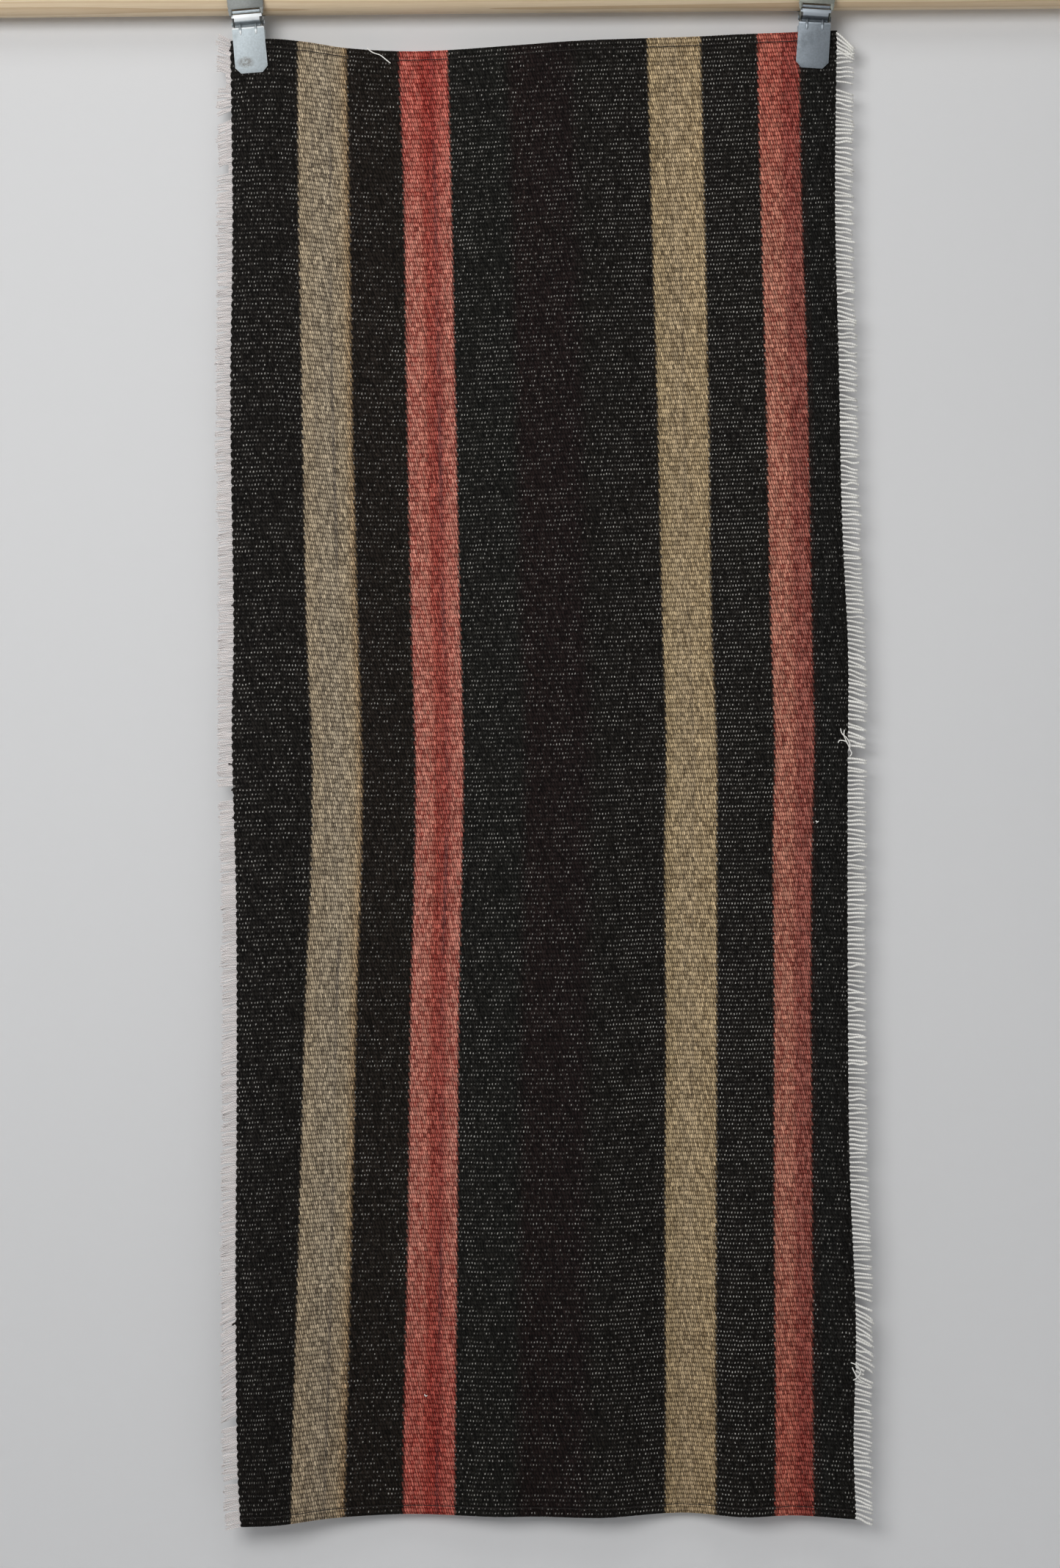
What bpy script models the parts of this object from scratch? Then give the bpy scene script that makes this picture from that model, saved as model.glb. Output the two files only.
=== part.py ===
"""Kilim runner rug, hung from a wooden rod by two sprung steel clips.

Frame: metres, +Z up, origin on the rod's axis at the middle of its length, +X along the rod
to the viewer's right, and the rug's face towards -Y. All millimetre values are turned into
metres by MM.
"""

import math

import bmesh
import bpy
from mathutils import Vector

MM = 0.001

# Rod
ROD_RADIUS = 12.5 * MM
ROD_LENGTH = 900 * MM
ROD_CHAMFER = 1.0 * MM
ROD_SIDES = 48

# Rug
RUG_THICKNESS = 2.4 * MM
HEM_THICKNESS = 4.4 * MM
HEM_WIDTH = 8.0 * MM
HEM_STEP = 0.7 * MM
RUG_COLUMNS = 40
RUG_ROWS = 26
# The sides and the two hems, as (share along the edge, place in mm).
LEFT_SIDE = [
    (0, -219.8), (0.12, -219.0), (0.24, -221.6), (0.4, -220.8), (0.47, -222.6),
    (0.58, -220.4), (0.72, -221.2), (0.84, -223.0), (0.95, -222.8), (1, -220.8),
]
RIGHT_SIDE = [
    (0, 235.0), (0.12, 232.4), (0.22, 234.0), (0.33, 235.4), (0.42, 239.0), (0.5, 237.8),
    (0.62, 236.6), (0.76, 236.6), (0.87, 240.2), (0.95, 237.8), (1, 239.0),
]
TOP_HEM = [
    (0, -31.2), (0.064, -29.9), (0.12, -32.2), (0.19, -36.6), (0.31, -38.6),
    (0.46, -36.2), (0.57, -34.1), (0.69, -31.8), (0.82, -30.0), (0.93, -28.5), (1, -27.4),
]
BOTTOM_HEM = [
    (0, -1143.2), (0.06, -1142.6), (0.15, -1139.6), (0.28, -1138.6), (0.42, -1139.8),
    (0.58, -1140.4), (0.72, -1139.6), (0.82, -1141.0), (0.9, -1140.8), (1, -1142.6),
]
# How far the rug stands forward of the rod's axis at its top, middle and bottom, in mm.
FOLDS_TOP = [(0, 1), (0.14, -2), (0.31, -8), (0.46, -2), (0.58, 3), (0.74, -2), (0.88, 1), (1, 1)]
FOLDS_MIDDLE = [(0, 5), (0.13, -2), (0.29, -7), (0.42, 3), (0.58, 5), (0.73, -6), (0.86, 2), (1, 6)]
FOLDS_BOTTOM = [
    (0, 13), (0.06, 12), (0.15, 1), (0.28, -6), (0.42, 2), (0.48, 0),
    (0.59, 5), (0.72, -7), (0.82, 5), (0.9, 0), (1, 8),
]

# Fringe: the warp ends that stand out of both long sides, as a comb of thread groups
FRINGE_GAP = 0.3 * MM
FRINGE_SPINE = 1.5 * MM
FRINGE_LENGTH = 13.2 * MM
FRINGE_THICKNESS = 1.2 * MM
FRINGE_DROOP = 1.4 * MM
FRINGE_TEETH = 56

# Clips: each hangs from the rod at a place along X, leaning by an angle towards the middle
CLIP_PLACES = {"clip_left": (-207.8 * MM, 4.3), "clip_right": (219.6 * MM, -3.9)}
STEEL = 0.8 * MM
# Room for the strap to lean on the rod.
STRAP_GAP = 1.4 * MM
PIN_GAP = 0.3 * MM
# The legs part from the rod this far below its axis, and what is cut away goes this far past them.
LEG_TOP_Z = -0.5 * MM
CUT_PAST = 2 * MM
STRAP_HALF_WIDTH = 13.4 * MM
STRAP_END_Z = -10.8 * MM
EAR_INNER_X = 10.4 * MM
# An ear's outline below the strap, from its front end round to the middle: (y, z).
EAR_OUTLINE = [(14.5, -14.0), (9.9, -14.1), (9.0, -16.6), (3.4, -20.6)]
BAR_RADIUS = 1.1 * MM
BAR_Y = -13.3 * MM
BAR_Z = -12.8 * MM
PIN_RADIUS = 1.1 * MM
PIN_HEAD_RADIUS = 1.9 * MM
PIN_HEAD_LENGTH = 0.8 * MM
PIN_Z = -18.5 * MM
JAW_STEEL = 0.9 * MM
# A jaw's outer face from its tongue down to its lip: (distance from the rug's plane, z, half width).
JAW_ROWS = [
    (12.2, -14.4, 11.5), (11.9, -16.6, 11.5), (11.8, -16.9, 9.5), (11.0, -19.2, 9.5),
    (5.4, -20.1, 9.6), (4.2, -21.2, 9.6), (4.7, -22.0, 9.8), (6.8, -22.9, 11.6),
    (7.0, -23.8, 12.0), (3.1, -52.0, 12.2), (2.4, -56.3, 8.0),
]
# The rug is held flat this far round each clip, and its folds grow back over the next stretch.
CLAMP_HALF_WIDTH = 20 * MM
CLAMP_LOW_Z = -66 * MM
CLAMP_FADE = 60 * MM

RUG_FACE_Y = -RUG_THICKNESS / 2


def clear_scene():
    for obj in list(bpy.data.objects):
        bpy.data.objects.remove(obj, do_unlink=True)


def new_collection(name):
    collection = bpy.data.collections.new(name)
    bpy.context.scene.collection.children.link(collection)
    return collection


def new_material(name, color, roughness, metallic=0.0):
    material = bpy.data.materials.new(name)
    material.use_nodes = True
    shader = material.node_tree.nodes["Principled BSDF"]
    shader.inputs["Base Color"].default_value = (*color, 1.0)
    shader.inputs["Roughness"].default_value = roughness
    shader.inputs["Metallic"].default_value = metallic
    return material


def smooth_step(share):
    share = min(max(share, 0.0), 1.0)
    return share * share * (3 - 2 * share)


def through(points, share):
    """A smooth line through (share, value) points, read at one share (a Catmull-Rom curve)."""
    last = len(points) - 2
    index = max(i for i in range(last + 1) if points[i][0] <= share or i == 0)
    (a, low), (b, high) = points[index], points[index + 1]
    before = points[max(index - 1, 0)]
    after = points[min(index + 2, last + 1)]
    slope_a = (high - before[1]) / (b - before[0])
    slope_b = (after[1] - low) / (after[0] - a)
    t = (share - a) / (b - a)
    span = b - a
    return (
        (2 * t**3 - 3 * t**2 + 1) * low
        + (t**3 - 2 * t**2 + t) * span * slope_a
        + (3 * t**2 - 2 * t**3) * high
        + (t**3 - t**2) * span * slope_b
    )


def held_flat(x, z):
    """1 inside a clip's grip, falling to 0 where the rug hangs freely."""
    held = 0.0
    for place, angle in CLIP_PLACES.values():
        middle = place - z * math.tan(math.radians(angle))
        aside = max(abs(x - middle) - CLAMP_HALF_WIDTH, 0.0)
        below = max(CLAMP_LOW_Z - z, 0.0)
        held = max(held, 1 - smooth_step(math.hypot(aside, below) / CLAMP_FADE))
    return held


def rug_point(across, down):
    """A point of the rug's face, by its shares of the width and the length."""
    left = through(LEFT_SIDE, down)
    right = through(RIGHT_SIDE, down)
    x = (left + (right - left) * across) * MM
    top = through(TOP_HEM, across)
    bottom = through(BOTTOM_HEM, across)
    z = (top + (bottom - top) * down) * MM
    forward = (
        (1 - down) ** 2 * through(FOLDS_TOP, across)
        + 2 * down * (1 - down) * through(FOLDS_MIDDLE, across)
        + down**2 * through(FOLDS_BOTTOM, across)
    ) * MM
    return x, RUG_FACE_Y - forward * (1 - held_flat(x, z)), z


def link(obj, collection, material):
    obj.data.materials.append(material)
    collection.objects.link(obj)
    return obj


def grid_object(name, columns, rows):
    """A flat grid whose points are numbered row by row, ready to be moved into shape."""
    mesh = bpy.data.meshes.new(name)
    work = bmesh.new()
    bmesh.ops.create_grid(work, x_segments=columns, y_segments=rows, size=1)
    work.verts.sort(key=lambda v: round(v.co.y, 5) * 10000 + v.co.x)
    work.verts.index_update()
    work.to_mesh(mesh)
    work.free()
    return bpy.data.objects.new(name, mesh)


def thicken(obj, thickness, offset=-1.0, group=None, thin_share=0.0):
    solidify = obj.modifiers.new("Solidify", "SOLIDIFY")
    solidify.thickness = thickness
    solidify.offset = offset
    if group:
        solidify.vertex_group = group
        solidify.thickness_vertex_group = thin_share
    return solidify


def add_cylinder(name, radius, length, collection, material, sides):
    """A cylinder along X, centred on its own origin."""
    mesh = bpy.data.meshes.new(name)
    work = bmesh.new()
    bmesh.ops.create_cone(
        work, cap_ends=True, segments=sides, radius1=radius, radius2=radius, depth=length
    )
    turned = [(v, (v.co.z, v.co.x, v.co.y)) for v in work.verts]
    for vert, place in turned:
        vert.co = place
    work.to_mesh(mesh)
    work.free()
    mesh.shade_smooth()
    mesh.set_sharp_from_angle(angle=math.radians(40))
    return link(bpy.data.objects.new(name, mesh), collection, material)


def rug_rows():
    """Shares down the length: both hems, their steps and evenly spaced rows between."""
    length = (BOTTOM_HEM[0][1] - TOP_HEM[0][1]) * -MM
    hem = HEM_WIDTH / length
    step = (HEM_WIDTH + HEM_STEP) / length
    inner = [step + (1 - 2 * step) * i / RUG_ROWS for i in range(RUG_ROWS + 1)]
    return [0.0, hem, *inner, 1 - hem, 1.0]


def build_rug(collection, material):
    shares = rug_rows()
    rug = grid_object("kilim_rug", RUG_COLUMNS, len(shares) - 1)
    hem_points = []
    for row, down in enumerate(shares):
        for column in range(RUG_COLUMNS + 1):
            index = row * (RUG_COLUMNS + 1) + column
            rug.data.vertices[index].co = rug_point(column / RUG_COLUMNS, down)
            if row in (0, 1, len(shares) - 2, len(shares) - 1):
                hem_points.append(index)
    rug.data.flip_normals()
    hems = rug.vertex_groups.new(name="hems")
    hems.add(hem_points, 1.0, "REPLACE")
    rug.data.shade_smooth()
    thicken(rug, HEM_THICKNESS, group="hems", thin_share=RUG_THICKNESS / HEM_THICKNESS)
    return link(rug, collection, material)


def build_fringe(name, side, collection, material):
    """A comb along one long side: a narrow spine, and a tooth for each group of warp ends."""
    rows = 2 * FRINGE_TEETH - 1
    fringe = grid_object(name, 2, rows)
    edge = 0.0 if side < 0 else 1.0
    reach = (FRINGE_GAP, FRINGE_GAP + FRINGE_SPINE, FRINGE_GAP + FRINGE_LENGTH)
    for row in range(rows + 1):
        down = row / rows
        point = Vector(rug_point(edge, down))
        inner = Vector(rug_point(edge - side / RUG_COLUMNS, down))
        out = Vector((point.x - inner.x, point.y - inner.y, 0)).normalized()
        back = Vector((-out.y, out.x, 0)) * side
        for column in range(3):
            place = point + back * RUG_THICKNESS / 2 + out * reach[column]
            if column == 2:
                place.z -= FRINGE_DROOP
            fringe.data.vertices[row * 3 + column].co = place
    work = bmesh.new()
    work.from_mesh(fringe.data)
    work.verts.ensure_lookup_table()
    tips = {v for v in work.verts if v.index % 3 == 2}
    gaps = [
        face
        for face in work.faces
        if any(v in tips for v in face.verts)
        and min(v.index // 3 for v in face.verts) % 2 == 1
    ]
    bmesh.ops.delete(work, geom=gaps, context="FACES")
    if side > 0:
        bmesh.ops.reverse_faces(work, faces=work.faces)
    work.to_mesh(fringe.data)
    work.free()
    thicken(fringe, FRINGE_THICKNESS, offset=0.0)
    return link(fringe, collection, material)


def strip_object(name, rows):
    """A bent strip of sheet metal, from (y, z, half width) rows in metres."""
    strip = grid_object(name, 1, len(rows) - 1)
    for row, (y, z, half_width) in enumerate(rows):
        strip.data.vertices[2 * row].co = (-half_width, y, z)
        strip.data.vertices[2 * row + 1].co = (half_width, y, z)
    return strip


def mesh_from(obj, name):
    """The evaluated shape of an object as a new mesh object, its loose caps welded."""
    bpy.context.view_layer.update()
    graph = bpy.context.evaluated_depsgraph_get()
    mesh = bpy.data.meshes.new_from_object(obj.evaluated_get(graph))
    work = bmesh.new()
    work.from_mesh(mesh)
    bmesh.ops.remove_doubles(work, verts=work.verts, dist=1e-6)
    bmesh.ops.recalc_face_normals(work, faces=work.faces)
    work.to_mesh(mesh)
    work.free()
    made = bpy.data.objects.new(name, mesh)
    made.matrix_world = obj.matrix_world
    return made


def round_outline(y, z, radius, sides):
    turns = [2 * math.pi * i / sides for i in range(sides)]
    return [(y + radius * math.cos(turn), z + radius * math.sin(turn)) for turn in turns]


def extruded_outline(name, outlines, x_low, x_high, collection):
    """A solid with the given outlines in the YZ plane, the later ones holes, between two places in X."""
    curve = bpy.data.curves.new(name, "CURVE")
    curve.dimensions = "2D"
    curve.fill_mode = "BOTH"
    curve.extrude = (x_high - x_low) / 2
    for outline in outlines:
        spline = curve.splines.new("POLY")
        spline.points.add(len(outline) - 1)
        for point, (y, z) in zip(spline.points, outline):
            point.co = (y, z, 0, 1)
        spline.use_cyclic_u = True
    guide = bpy.data.objects.new(name + "_outline", curve)
    collection.objects.link(guide)
    guide.rotation_euler = (math.radians(90), 0, math.radians(90))
    guide.location = ((x_low + x_high) / 2, 0, 0)
    solid = mesh_from(guide, name)
    bpy.data.objects.remove(guide, do_unlink=True)
    collection.objects.link(solid)
    return solid


def as_cutter(obj, parent):
    obj.parent = parent
    obj.hide_render = True
    obj.display_type = "WIRE"


def build_strap(name, parent, collection, cutters, material):
    """A band bent over the rod, with two ears between its legs that reach down to the pin."""
    radius = ROD_RADIUS + STRAP_GAP + STEEL
    inner = ROD_RADIUS + STRAP_GAP
    arc = [(radius * math.cos(math.pi * i / 16), radius * math.sin(math.pi * i / 16)) for i in range(17)]
    ear = [(y * MM, z * MM) for y, z in EAR_OUTLINE]
    front = [(-radius, STRAP_END_Z)] + [(-y, z) for y, z in ear]
    back = list(reversed(ear)) + [(radius, STRAP_END_Z)]
    rod_hole = round_outline(0, 0, inner, 32)
    pin_hole = round_outline(0, PIN_Z, PIN_RADIUS + PIN_GAP, 16)
    outlines = [arc + front + back, rod_hole, pin_hole]
    strap = extruded_outline(name, outlines, -STRAP_HALF_WIDTH, STRAP_HALF_WIDTH, collection)
    # What is cut away beside and between the ears: the space between the legs, and all below them.
    low = EAR_OUTLINE[-1][1] * MM - CUT_PAST
    wide = radius + CUT_PAST
    half = [(inner, LEG_TOP_Z), (inner, STRAP_END_Z), (wide, STRAP_END_Z), (wide, low)]
    space = half + [(-y, z) for y, z in reversed(half)]
    ear_outer_x = EAR_INNER_X + STEEL
    past = STRAP_HALF_WIDTH + CUT_PAST
    spans = {
        "between": (-EAR_INNER_X, EAR_INNER_X),
        "beside_a": (-past, -ear_outer_x),
        "beside_b": (ear_outer_x, past),
    }
    for label, (x_low, x_high) in spans.items():
        cutter = extruded_outline(f"{name}_{label}", [space], x_low, x_high, cutters)
        as_cutter(cutter, parent)
        cut = strap.modifiers.new(label, "BOOLEAN")
        cut.operation = "DIFFERENCE"
        cut.object = cutter
    strap.parent = parent
    strap.data.materials.append(material)
    return strap


def build_pin(name, parent, collection, cutters, material):
    """The cross pin, with a flat head outside each ear."""
    head_x = EAR_INNER_X + STEEL + PIN_GAP
    pin = add_cylinder(name, PIN_RADIUS, 2 * head_x + PIN_HEAD_LENGTH, collection, material, 16)
    pin.location = (0, 0, PIN_Z)
    pin.parent = parent
    for label, side in (("head_a", -1), ("head_b", 1)):
        head = add_cylinder(
            f"{name}_{label}", PIN_HEAD_RADIUS, PIN_HEAD_LENGTH, cutters, material, 20
        )
        head.location = (side * (head_x + PIN_HEAD_LENGTH / 2), 0, PIN_Z)
        as_cutter(head, parent)
        union = pin.modifiers.new(label, "BOOLEAN")
        union.operation = "UNION"
        union.object = head
    return pin


def build_jaw(name, face, parent, collection, material):
    """A pressed plate whose lip grips the rug. face is -1 for the front and 1 for the back."""
    rows = [(face * y * MM, z * MM, half * MM) for y, z, half in JAW_ROWS]
    jaw = strip_object(name, rows)
    thicken(jaw, JAW_STEEL, offset=-1.0)
    if face < 0:
        jaw.data.flip_normals()
    jaw.parent = parent
    return link(jaw, collection, material)


def build_clip(name, place, angle, collection, cutters, material):
    """One clip, made upright round the rod and then leaned about the rod's own Y direction."""
    hang = bpy.data.objects.new(name, None)
    collection.objects.link(hang)
    hang.location = (place, 0, 0)
    hang.rotation_euler = (0, -math.radians(angle), 0)
    build_strap(f"{name}_strap", hang, collection, cutters, material)
    bar = add_cylinder(
        f"{name}_bar", BAR_RADIUS, 2 * (EAR_INNER_X - PIN_GAP), collection, material, 16
    )
    bar.location = (0, BAR_Y, BAR_Z)
    bar.parent = hang
    build_pin(f"{name}_pin", hang, collection, cutters, material)
    build_jaw(f"{name}_front_jaw", -1, hang, collection, material)
    build_jaw(f"{name}_back_jaw", 1, hang, collection, material)


def build_rod(collection, material):
    rod = add_cylinder("rod", ROD_RADIUS, ROD_LENGTH, collection, material, ROD_SIDES)
    bevel = rod.modifiers.new("Bevel", "BEVEL")
    bevel.width = ROD_CHAMFER
    bevel.segments = 2
    bevel.limit_method = "ANGLE"
    bevel.angle_limit = math.radians(40)
    return rod


def main():
    clear_scene()
    parts = new_collection("hung_kilim_runner")
    cutters = new_collection("cutters")
    wool = new_material("wool", (0.03, 0.028, 0.027), 0.9)
    cotton = new_material("cotton", (0.66, 0.64, 0.58), 0.9)
    steel = new_material("zinc_steel", (0.55, 0.57, 0.6), 0.35, 1.0)
    pine = new_material("pine", (0.62, 0.5, 0.34), 0.55)
    build_rod(parts, pine)
    for name, (place, angle) in CLIP_PLACES.items():
        build_clip(name, place, angle, parts, cutters, steel)
    build_rug(parts, wool)
    build_fringe("fringe_left", -1, parts, cotton)
    build_fringe("fringe_right", 1, parts, cotton)


main()
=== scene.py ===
"""Kilim runner rug hung from a wooden rod by two sprung steel clips: its finished surfaces.

Metres, +Z up, origin on the rod's axis, rug facing -Y. Millimetre values are turned into
metres by MM. Woven places are counted in the rug's own threads: U in pairs of weft threads
from its left side, and V in warp threads from its top.
"""

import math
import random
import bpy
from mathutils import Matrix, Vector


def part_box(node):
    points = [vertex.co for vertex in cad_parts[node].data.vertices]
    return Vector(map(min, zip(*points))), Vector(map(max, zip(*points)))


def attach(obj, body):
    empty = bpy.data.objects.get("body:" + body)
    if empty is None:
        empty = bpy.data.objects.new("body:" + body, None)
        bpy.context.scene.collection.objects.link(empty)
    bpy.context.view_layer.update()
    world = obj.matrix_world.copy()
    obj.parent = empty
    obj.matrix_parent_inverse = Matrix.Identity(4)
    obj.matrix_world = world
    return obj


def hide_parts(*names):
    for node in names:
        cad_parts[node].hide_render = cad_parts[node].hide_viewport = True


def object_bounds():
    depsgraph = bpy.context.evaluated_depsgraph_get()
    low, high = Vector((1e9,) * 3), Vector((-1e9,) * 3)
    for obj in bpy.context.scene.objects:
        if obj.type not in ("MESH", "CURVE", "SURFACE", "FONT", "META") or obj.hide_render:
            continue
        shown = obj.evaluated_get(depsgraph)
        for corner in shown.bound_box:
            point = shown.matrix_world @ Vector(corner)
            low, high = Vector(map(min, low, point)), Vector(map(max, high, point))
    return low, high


bl_info = {
    "name": "Kilim Runner on a Rod",
    "version": (1, 0, 0),
    "blender": (4, 5, 0),
    "location": "3D View > Sidebar > Kilim",
    "description": "Builds a hung kilim runner: its weave, fringes, stitching, clips and rod",
    "category": "Add Mesh",
}

import bpy
import numpy as np
from bpy.props import FloatProperty, FloatVectorProperty, IntProperty, PointerProperty
from mathutils import Matrix, Vector, noise

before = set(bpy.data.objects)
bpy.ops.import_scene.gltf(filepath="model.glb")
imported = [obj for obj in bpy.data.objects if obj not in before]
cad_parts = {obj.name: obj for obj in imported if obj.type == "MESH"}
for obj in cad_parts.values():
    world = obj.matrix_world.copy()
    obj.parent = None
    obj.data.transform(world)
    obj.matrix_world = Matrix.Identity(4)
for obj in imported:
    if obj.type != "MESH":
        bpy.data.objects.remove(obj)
CAD_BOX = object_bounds()

MM = 0.001

# The rug's sides and hems, as (share along the edge, place in mm).
LEFT_SIDE = [
    (0, -219.8), (0.12, -219.0), (0.24, -221.6), (0.4, -220.8), (0.47, -222.6),
    (0.58, -220.4), (0.72, -221.2), (0.84, -223.0), (0.95, -222.8), (1, -220.8),
]
RIGHT_SIDE = [
    (0, 235.0), (0.12, 232.4), (0.22, 234.0), (0.33, 235.4), (0.42, 239.0), (0.5, 237.8),
    (0.62, 236.6), (0.76, 236.6), (0.87, 240.2), (0.95, 237.8), (1, 239.0),
]
TOP_HEM = [
    (0, -31.2), (0.064, -29.9), (0.12, -32.2), (0.19, -36.6), (0.31, -38.6),
    (0.46, -36.2), (0.57, -34.1), (0.69, -31.8), (0.82, -30.0), (0.93, -28.5), (1, -27.4),
]
BOTTOM_HEM = [
    (0, -1143.2), (0.06, -1142.6), (0.15, -1139.6), (0.28, -1138.6), (0.42, -1139.8),
    (0.58, -1140.4), (0.72, -1139.6), (0.82, -1141.0), (0.9, -1140.8), (1, -1142.6),
]
# How far the rug stands forward of the rod's axis at its top, middle and bottom, in mm.
FOLDS_TOP = [(0, 1), (0.14, -2), (0.31, -8), (0.46, -2), (0.58, 3), (0.74, -2), (0.88, 1), (1, 1)]
FOLDS_MIDDLE = [(0, 5), (0.13, -2), (0.29, -7), (0.42, 3), (0.58, 5), (0.73, -6), (0.86, 2), (1, 6)]
FOLDS_BOTTOM = [
    (0, 13), (0.06, 12), (0.15, 1), (0.28, -6), (0.42, 2), (0.48, 0),
    (0.59, 5), (0.72, -7), (0.82, 5), (0.9, 0), (1, 8),
]
# Where the colour bands meet, in mm across, at some shares of the way down.
BAND_EDGES = [
    (0.0, (-169, -134, -94, -57, 93, 132, 175.5, 206.5)),
    (0.1, (-169.5, -133, -91, -55, 95, 134, 177, 207)),
    (0.25, (-168, -132, -90, -53, 98.5, 136, 180, 210.5)),
    (0.4, (-166, -129, -88, -51, 101, 137, 182, 212)),
    (0.48, (-163, -127, -86, -49.5, 103, 140, 184, 213)),
    (0.55, (-164, -128, -87, -51, 101, 139.5, 182, 210.5)),
    (0.65, (-169.5, -132.5, -91, -54.5, 101, 138.5, 182, 209)),
    (0.8, (-175.5, -137.5, -94.5, -57, 99, 136.5, 180.5, 208.5)),
    (0.94, (-181.5, -143, -99, -60, 98, 135, 180, 208)),
    (1.0, (-183.5, -145, -100, -61, 97, 134.5, 179, 208)),
]
# The same edges and the two sides, counted in pairs of weft threads.
BAND_PAIRS = (0, 23, 46, 64, 86, 156, 180, 200, 217, 230)
BAND_COLUMNS = (5, 4, 4, 4, 16, 4, 5, 3, 3)
PAIRS = BAND_PAIRS[-1]
WARPS = 336

# Each clip hangs at a place along the rod, leaning by an angle towards the middle.
CLIP_PLACES = {"clip_left": (-207.8 * MM, 4.3), "clip_right": (219.6 * MM, -3.9)}
CLAMP_HALF_WIDTH = 20 * MM
CLAMP_LOW_Z = -66 * MM
CLAMP_FADE = 60 * MM


# ---------------------------------------------------------------- settings


def size_property(name, description, default, least=0.0):
    return FloatProperty(
        name=name, description=description, default=default, min=least,
        subtype="DISTANCE", unit="LENGTH",
    )


def color_property(name, description, default):
    return FloatVectorProperty(
        name=name, description=description, default=default, min=0.0, max=1.0, subtype="COLOR",
    )


class RugSettings(bpy.types.PropertyGroup):
    thickness: size_property(
        "Thickness", "Thickness of the woven cloth", 2.4 * MM
    )
    hem_thickness: size_property(
        "Hem Thickness", "Thickness of the cloth where its hem is doubled", 4.4 * MM
    )
    hem_width: size_property(
        "Hem Width", "How far each hem is turned to the back", 8.0 * MM
    )
    waviness: size_property(
        "Waviness", "Height of the small waves in the hanging cloth", 0.8 * MM
    )
    fringe_length: size_property(
        "Fringe Length", "Usual length of a free warp end", 12.4 * MM
    )
    thread_radius: size_property(
        "Warp Radius", "Radius of a free warp end", 0.7 * MM
    )
    stitch_inset: size_property(
        "Stitch Inset", "Distance from the hem's fold to its line of stitches", 7.2 * MM
    )
    seed: IntProperty(
        name="Seed", description="Seed for the fringe's uneven lengths and leans", default=7,
    )
    cotton_color: color_property("Cotton", "Colour of the warp threads", (0.86, 0.85, 0.81))
    stitch_color: color_property("Stitching", "Colour of the hems' sewing thread", (0.02, 0.016, 0.014))


class ClipSettings(bpy.types.PropertyGroup):
    band_steel: size_property(
        "Band Steel", "Thickness of the band over the rod", 0.8 * MM
    )
    jaw_steel: size_property(
        "Jaw Steel", "Thickness of the pressed jaws", 0.9 * MM
    )
    zinc_color: color_property("Zinc", "Colour of the zinc plating", (0.54, 0.605, 0.64))


class RodSettings(bpy.types.PropertyGroup):
    chamfer: size_property(
        "Chamfer", "Size of the eased edge round each end", 1.0 * MM
    )
    light_wood: color_property("Light Wood", "Colour of the pine between its grain lines", (0.72, 0.58, 0.4))
    dark_wood: color_property("Dark Wood", "Colour of the pine's grain lines", (0.5, 0.34, 0.19))


class StageSettings(bpy.types.PropertyGroup):
    camera_distance: size_property(
        "Camera Distance", "Distance from the camera to the rug", 2.5, least=0.1
    )
    wall_gap: size_property(
        "Wall Gap", "Distance from the rod's axis back to the wall", 17 * MM
    )
    floor_gap: size_property(
        "Floor Gap", "Distance from the rug's bottom down to the floor", 250 * MM
    )
    wall_color: color_property("Wall", "Colour of the wall and floor", (0.685, 0.69, 0.7))


# ---------------------------------------------------------------- shape helpers


def smooth_step(share):
    share = min(max(share, 0.0), 1.0)
    return share * share * (3 - 2 * share)


def through(points, share):
    """A smooth line through (share, value) points, read at one share (a Catmull-Rom curve)."""
    last = len(points) - 2
    index = max(i for i in range(last + 1) if points[i][0] <= share or i == 0)
    (a, low), (b, high) = points[index], points[index + 1]
    before = points[max(index - 1, 0)]
    after = points[min(index + 2, last + 1)]
    slope_a = (high - before[1]) / (b - before[0])
    slope_b = (after[1] - low) / (after[0] - a)
    span = b - a
    t = (share - a) / span
    return (
        (2 * t**3 - 3 * t**2 + 1) * low
        + (t**3 - 2 * t**2 + t) * span * slope_a
        + (3 * t**2 - 2 * t**3) * high
        + (t**3 - t**2) * span * slope_b
    )


def held_flat(x, z):
    """1 inside a clip's grip, falling to 0 where the rug hangs freely."""
    held = 0.0
    for place, angle in CLIP_PLACES.values():
        middle = place - z * math.tan(math.radians(angle))
        aside = max(abs(x - middle) - CLAMP_HALF_WIDTH, 0.0)
        below = max(CLAMP_LOW_Z - z, 0.0)
        held = max(held, 1 - smooth_step(math.hypot(aside, below) / CLAMP_FADE))
    return held


def band_lines(down):
    """The x of the left side, of each colour band's edges and of the right side."""
    edges = []
    for band in range(len(BAND_EDGES[0][1])):
        edges.append(through([(share, row[band]) for share, row in BAND_EDGES], down))
    lines = [through(LEFT_SIDE, down), *edges, through(RIGHT_SIDE, down)]
    return [x * MM for x in lines]


def middle_surface(x, down, left, right, waviness):
    """The y and z of the cloth's middle layer at one place across and one share down."""
    across = (x - left) / (right - left)
    top = through(TOP_HEM, across)
    bottom = through(BOTTOM_HEM, across)
    z = (top + (bottom - top) * down) * MM
    forward = (
        (1 - down) ** 2 * through(FOLDS_TOP, across)
        + 2 * down * (1 - down) * through(FOLDS_MIDDLE, across)
        + down**2 * through(FOLDS_BOTTOM, across)
    ) * MM
    ripple = noise.noise(Vector((x * 22, z * 7, 0.3))) + 0.5 * noise.noise(Vector((x * 45, z * 30, 4.1)))
    return -(forward + ripple * waviness) * (1 - held_flat(x, z)), z


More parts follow.
